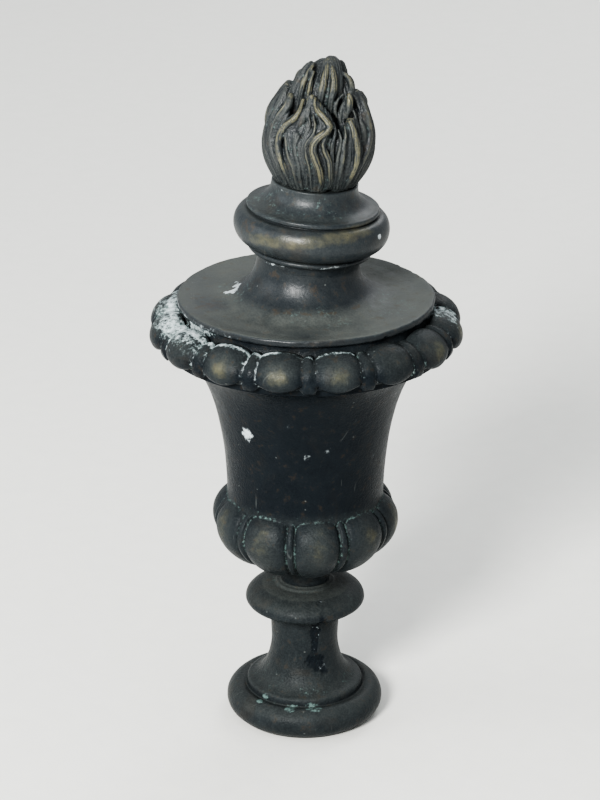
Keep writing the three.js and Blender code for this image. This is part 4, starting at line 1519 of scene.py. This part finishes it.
def rubbed_near(lines, points):
    """How far each point is rubbed, by the ridge nearest to it."""
    places = np.vstack([path for path, _, _, _ in lines])
    thick = np.concatenate([np.full(len(path), thick) for path, thick, _, _ in lines])
    rub = np.concatenate([share * smooth(path[:, 2], low - 4, low + 4) for path, _, share, low in lines])
    tree = KDTree(len(places))
    for index, place in enumerate(places):
        tree.insert(place, index)
    tree.balance()
    found = np.array([tree.find(point)[1:] for point in points.tolist()])
    nearest = found[:, 0].astype(int)
    near = smooth(1.8 * thick[nearest] - found[:, 1], 0, 0.8 * thick[nearest])
    return rub[nearest] * near, near


def strand_mesh(s, lines, material):
    """The strands as one mesh, swept by the Flame strands tree."""
    curve = bpy.data.curves.new("strand_lines", "CURVE")
    curve.dimensions = "3D"
    for points, thick, _, _ in lines:
        spline = curve.splines.new("POLY")
        spline.points.add(len(points) - 1)
        homogeneous = np.column_stack([points * MM, np.ones(len(points))])
        spline.points.foreach_set("co", homogeneous.ravel())
        spline.points.foreach_set("radius", tapered(thick, len(points)) / s.strand_radius)
    piece = bpy.data.objects.new("strand_lines", curve)
    bpy.context.scene.collection.objects.link(piece)
    modifier = piece.modifiers.new("Flame strands", "NODES")
    modifier.node_group = group_once("Flame strands", strand_tree)
    set_inputs(modifier, {"Strand radius": s.strand_radius * MM, "Sides": 10, "Skin": material})
    mesh = evaluated_mesh(piece)
    dropped(piece)
    return mesh


def flame_core(s):
    """A bud-shaped body that joins the tongues."""
    height = np.linspace(0, s.height - 3, 76)
    casting = Casting(np.column_stack([np.ones(len(height)), height]), 120)
    points = casting.points
    direction = bearing(points)
    height = points[:, 2]
    edge_turn, edge_height = np.array(CROWN_EDGE, float).T
    edge = np.interp(direction, edge_turn, edge_height)
    outer = crown_radius(s, height) - 3.0
    inner = bundle_radius(s, height) - 2.6
    radius = inner + (outer - inner) * smooth(edge + 1 - height, 0, 7)
    points[:, :2] *= np.maximum(radius, 1.2)[:, None]
    return casting.closed(points), casting.faces()


def make_flame():
    """The flame: tongues, strands and core grown into one skin, rubbed on its ridges."""
    s = in_mm(bpy.context.scene.finial_flame)
    cover = in_mm(bpy.context.scene.finial_cover)
    heights = cover_heights(cover)
    foot = heights[-1] + COLLAR_HEIGHT + 0.3
    bodies = [flame_core(s)]
    bodies += [tongue_body(s, values, crown_radius, -3) for values in CROWN]
    bodies += [tongue_body(s, values, bundle_radius, 30) for values in BUNDLE]
    bodies += [front_body(depth, points) for depth, points in BUNDLE_FRONT]
    lines = strand_lines(s)
    strands = strand_mesh(s, lines, skinned("rubbed bronze"))
    bodies.append((points_of(strands), [list(face.vertices) for face in strands.polygons]))
    bpy.data.meshes.remove(strands)
    points, faces, count = [], [], 0
    for body_points, body_faces in bodies:
        points.append(body_points)
        faces += [[index + count for index in face] for face in body_faces]
        count += len(body_points)
    draft = new_piece("flame_draft", np.vstack(points), faces)
    grown = draft.modifiers.new("Skin", "REMESH")
    grown.mode = "VOXEL"
    grown.voxel_size = s.voxel * MM
    skin = evaluated_mesh(draft)
    dropped(draft)

    edges = edges_of(skin)
    even = averaged(points_of(skin), edges, 5)
    outward = averaged(normals_of(skin), edges, 6)
    outward /= np.linalg.norm(outward, axis=1)[:, None]
    faces = [list(face.vertices) for face in skin.polygons]
    bpy.data.meshes.remove(skin)
    _, on_ridge = rubbed_near(lines, even)
    strands = strands_over(s, even)
    deep = (1.3 - 0.7 * on_ridge) * smooth(even[:, 2], 0, 2)
    even += outward * ((strands - 0.75) * deep)[:, None]
    even += 0.15 * np.column_stack([layered(even, 5, seed) for seed in (91, 92, 93)])
    dense = new_piece("flame_dense", even, faces)
    thinned = dense.modifiers.new("Thinned", "DECIMATE")
    thinned.ratio = bpy.context.scene.finial_flame.kept
    skin = evaluated_mesh(dense)
    dropped(dense)
    even, faces = main_shell(skin)
    bpy.data.meshes.remove(skin)
    rubbed, _ = rubbed_near(lines, even)
    strands = strands_over(s, even)
    even[:, 2] = np.maximum(even[:, 2], 0)
    lean = bpy.context.scene.finial_cover.lean
    even[:, 2] += foot
    placed = leaning(even, heights[1], heights[2], lean)
    piece = new_piece("flame_casting", placed, faces)
    fine = relief(piece.data, 12, 1.5)
    broad = relief(piece.data, 80, 5.0)
    full = points_of(piece.data)
    worn = 0.75 + 0.55 * layered(full, 9, 97)
    masks = {
        "crest": rubbed * (0.3 + 0.7 * ranked(fine, 50, 92)) * worn
        + 0.3 * ranked(fine, 60, 95) * ranked(broad, 40, 90),
        "hollow": ranked(-fine, 50, 92) * 0.7
        + ranked(-broad, 60, 95) * 0.4
        + 0.7 * smooth(0.65 - strands, 0, 0.5),
        # Dust and painted top light: paler on the raised strands
        "dust_and_top_light": 0.46 * smooth(strands, 0.45, 0.95) * (0.3 + 0.7 * ranked(broad, 25, 85)) + 0.1 * worn,
        "chalk": 0.3 * ranked(-fine, 60, 95) * smooth(layered(full, 6, 95), 0.0, 0.5),
        "verdigris": 0.45 * ranked(-fine, 40, 80) * smooth(layered(full, 12, 96), -0.3, 0.5),
    }
    finish_casting(piece, "flame", skinned("rubbed bronze"), masks)


def make_floor():
    """A wide, flat, pale floor."""
    casting = Casting(line((5, 0), (12000, 0), 40), 96)
    walls = [face[::-1] for face in casting.faces()[: (casting.rows - 1) * casting.sides]]
    piece = new_piece("floor", casting.points, walls + [list(range(casting.sides))])
    piece.data.flip_normals()
    material = bpy.data.materials.new("pale floor")
    material.use_nodes = True
    w = Wiring(material.node_tree)
    shader = material.node_tree.nodes["Principled BSDF"]
    tint = bpy.context.scene.finial_colours.floor
    place = w.add("ShaderNodeTexCoord").outputs["Object"]
    plaster = w.add("ShaderNodeTexNoise", {"Vector": place, "Scale": 60.0, "Detail": 5.0})
    worn = w.add("ShaderNodeMapRange", {0: plaster.outputs[0], 3: 0.97, 4: 1.03}).outputs[0]
    shade = w.add(
        "ShaderNodeMix", {"Factor": 1.0, 6: (*tint, 1), 7: worn}, data_type="RGBA", blend_type="MULTIPLY"
    )
    bump = w.add("ShaderNodeBump", {"Height": plaster.outputs[0], "Strength": 0.12, "Distance": 0.002})
    w.tree.links.new(shade.outputs[2], shader.inputs["Base Color"])
    w.tree.links.new(bump.outputs[0], shader.inputs["Normal"])
    shader.inputs["Roughness"].default_value = 0.85
    piece.data.materials.append(material)


def area_light(name, place, target, size, power, tint):
    """A soft lamp of one size that looks at a point, both in metres."""
    lamp = bpy.data.lights.new(name, "AREA")
    lamp.shape = "DISK"
    lamp.size = size
    lamp.energy = power
    lamp.color = tint
    piece = bpy.data.objects.new(name, lamp)
    bpy.context.scene.collection.objects.link(piece)
    piece.location = place
    piece.rotation_euler = (Vector(target) - Vector(place)).to_track_quat("-Z", "Y").to_euler()


# Lamps: name, place and aim in metres, size, power in watts and tint
LAMPS = (
    ("window", (-0.9, -2.1, 1.5), (0, 0, 0.25), 0.7, 96, (1.0, 0.99, 0.965)),
    ("side", (-1.9, -0.2, 1.1), (0, 0, 0.2), 1.1, 9, (0.97, 0.99, 1.0)),
    ("behind", (0.9, 2.0, 1.9), (0, 0, 0.25), 1.4, 18, (0.98, 0.99, 1.0)),
)

# Camera: height of its view in degrees, its aim and distance in metres, and its roll in degrees
VIEW_RISE_DEG = 22.78
VIEW_AIM = (-0.0036, 0, 0.21705)
VIEW_DISTANCE = 1.8845
VIEW_ROLL_DEG = 0.2


def make_light():
    """Soft daylight from the left of the viewer, with weak fills from the side and behind."""
    for lamp in LAMPS:
        area_light(*lamp)
    world = bpy.data.worlds.new("pale room")
    bpy.context.scene.world = world
    world.use_nodes = True
    sky = world.node_tree.nodes["Background"]
    sky.inputs["Color"].default_value = (0.92, 0.94, 0.96, 1)
    sky.inputs["Strength"].default_value = 0.66
    bpy.context.scene.view_settings.look = "AgX - High Contrast"


def make_camera():
    """The photograph's viewpoint, from above and a little to the left of the leaning head."""
    rise = math.radians(VIEW_RISE_DEG)
    target = Vector(VIEW_AIM)
    lens = bpy.data.cameras.new("camera")
    lens.sensor_fit = "HORIZONTAL"
    lens.sensor_width = 36
    lens.lens = 180
    lens.clip_start = 0.05
    lens.clip_end = 30
    camera = bpy.data.objects.new("camera", lens)
    bpy.context.scene.collection.objects.link(camera)
    camera.location = target + VIEW_DISTANCE * Vector((0, -math.cos(rise), math.sin(rise)))
    look = (target - camera.location).to_track_quat("-Z", "Y")
    roll = Quaternion((0, 0, 1), math.radians(VIEW_ROLL_DEG))
    camera.rotation_mode = "QUATERNION"
    camera.rotation_quaternion = look @ roll
    bpy.context.scene.camera = camera


class FINIAL_OT_foot(bpy.types.Operator):
    """Makes the foot casting"""

    bl_idname = "finial.foot"
    bl_label = "Foot"

    def execute(self, context):
        make_foot()
        return {"FINISHED"}


class FINIAL_OT_urn(bpy.types.Operator):
    """Makes the urn casting"""

    bl_idname = "finial.urn"
    bl_label = "Urn"

    def execute(self, context):
        make_urn()
        return {"FINISHED"}


class FINIAL_OT_cover(bpy.types.Operator):
    """Makes the cover casting"""

    bl_idname = "finial.cover"
    bl_label = "Cover"

    def execute(self, context):
        make_cover()
        return {"FINISHED"}


class FINIAL_OT_flame(bpy.types.Operator):
    """Makes the flame casting"""

    bl_idname = "finial.flame"
    bl_label = "Flame"

    def execute(self, context):
        make_flame()
        return {"FINISHED"}


class FINIAL_OT_stage(bpy.types.Operator):
    """Makes the floor, the light and the camera"""

    bl_idname = "finial.stage"
    bl_label = "Floor, light and camera"

    def execute(self, context):
        make_floor()
        make_light()
        make_camera()
        return {"FINISHED"}


GROUPS = (
    ("finial_foot", FootSizes),
    ("finial_urn", UrnSizes),
    ("finial_cover", CoverSizes),
    ("finial_flame", FlameSizes),
    ("finial_colours", BronzeColours),
)
OPERATORS = (FINIAL_OT_foot, FINIAL_OT_urn, FINIAL_OT_cover, FINIAL_OT_flame, FINIAL_OT_stage)


class FINIAL_PT_panel(bpy.types.Panel):
    """Sizes, colours and makers of the finial"""

    bl_idname = "FINIAL_PT_panel"
    bl_label = "Urn gate finial"
    bl_space_type = "VIEW_3D"
    bl_region_type = "UI"
    bl_category = "Finial"

    def draw(self, context):
        for operator in OPERATORS:
            self.layout.operator(operator.bl_idname)
        for name, group in GROUPS:
            box = self.layout.box()
            box.label(text=group.__name__)
            for key in group.__annotations__:
                box.prop(getattr(context.scene, name), key)


def register():
    """Registers the classes and gives the scene its sizes and colours."""
    for name, group in GROUPS:
        bpy.utils.register_class(group)
        setattr(bpy.types.Scene, name, bpy.props.PointerProperty(type=group))
    for item in (*OPERATORS, FINIAL_PT_panel):
        bpy.utils.register_class(item)


def unregister():
    """Takes the classes and the scene's properties away."""
    for item in (FINIAL_PT_panel, *reversed(OPERATORS)):
        bpy.utils.unregister_class(item)
    for name, group in reversed(GROUPS):
        delattr(bpy.types.Scene, name)
        bpy.utils.unregister_class(group)


def main():
    """Makes the finial and its stage."""
    register()
    bpy.ops.finial.foot()
    bpy.ops.finial.urn()
    bpy.ops.finial.cover()
    bpy.ops.finial.flame()
    bpy.ops.finial.stage()


if __name__ == "__main__":
    main()
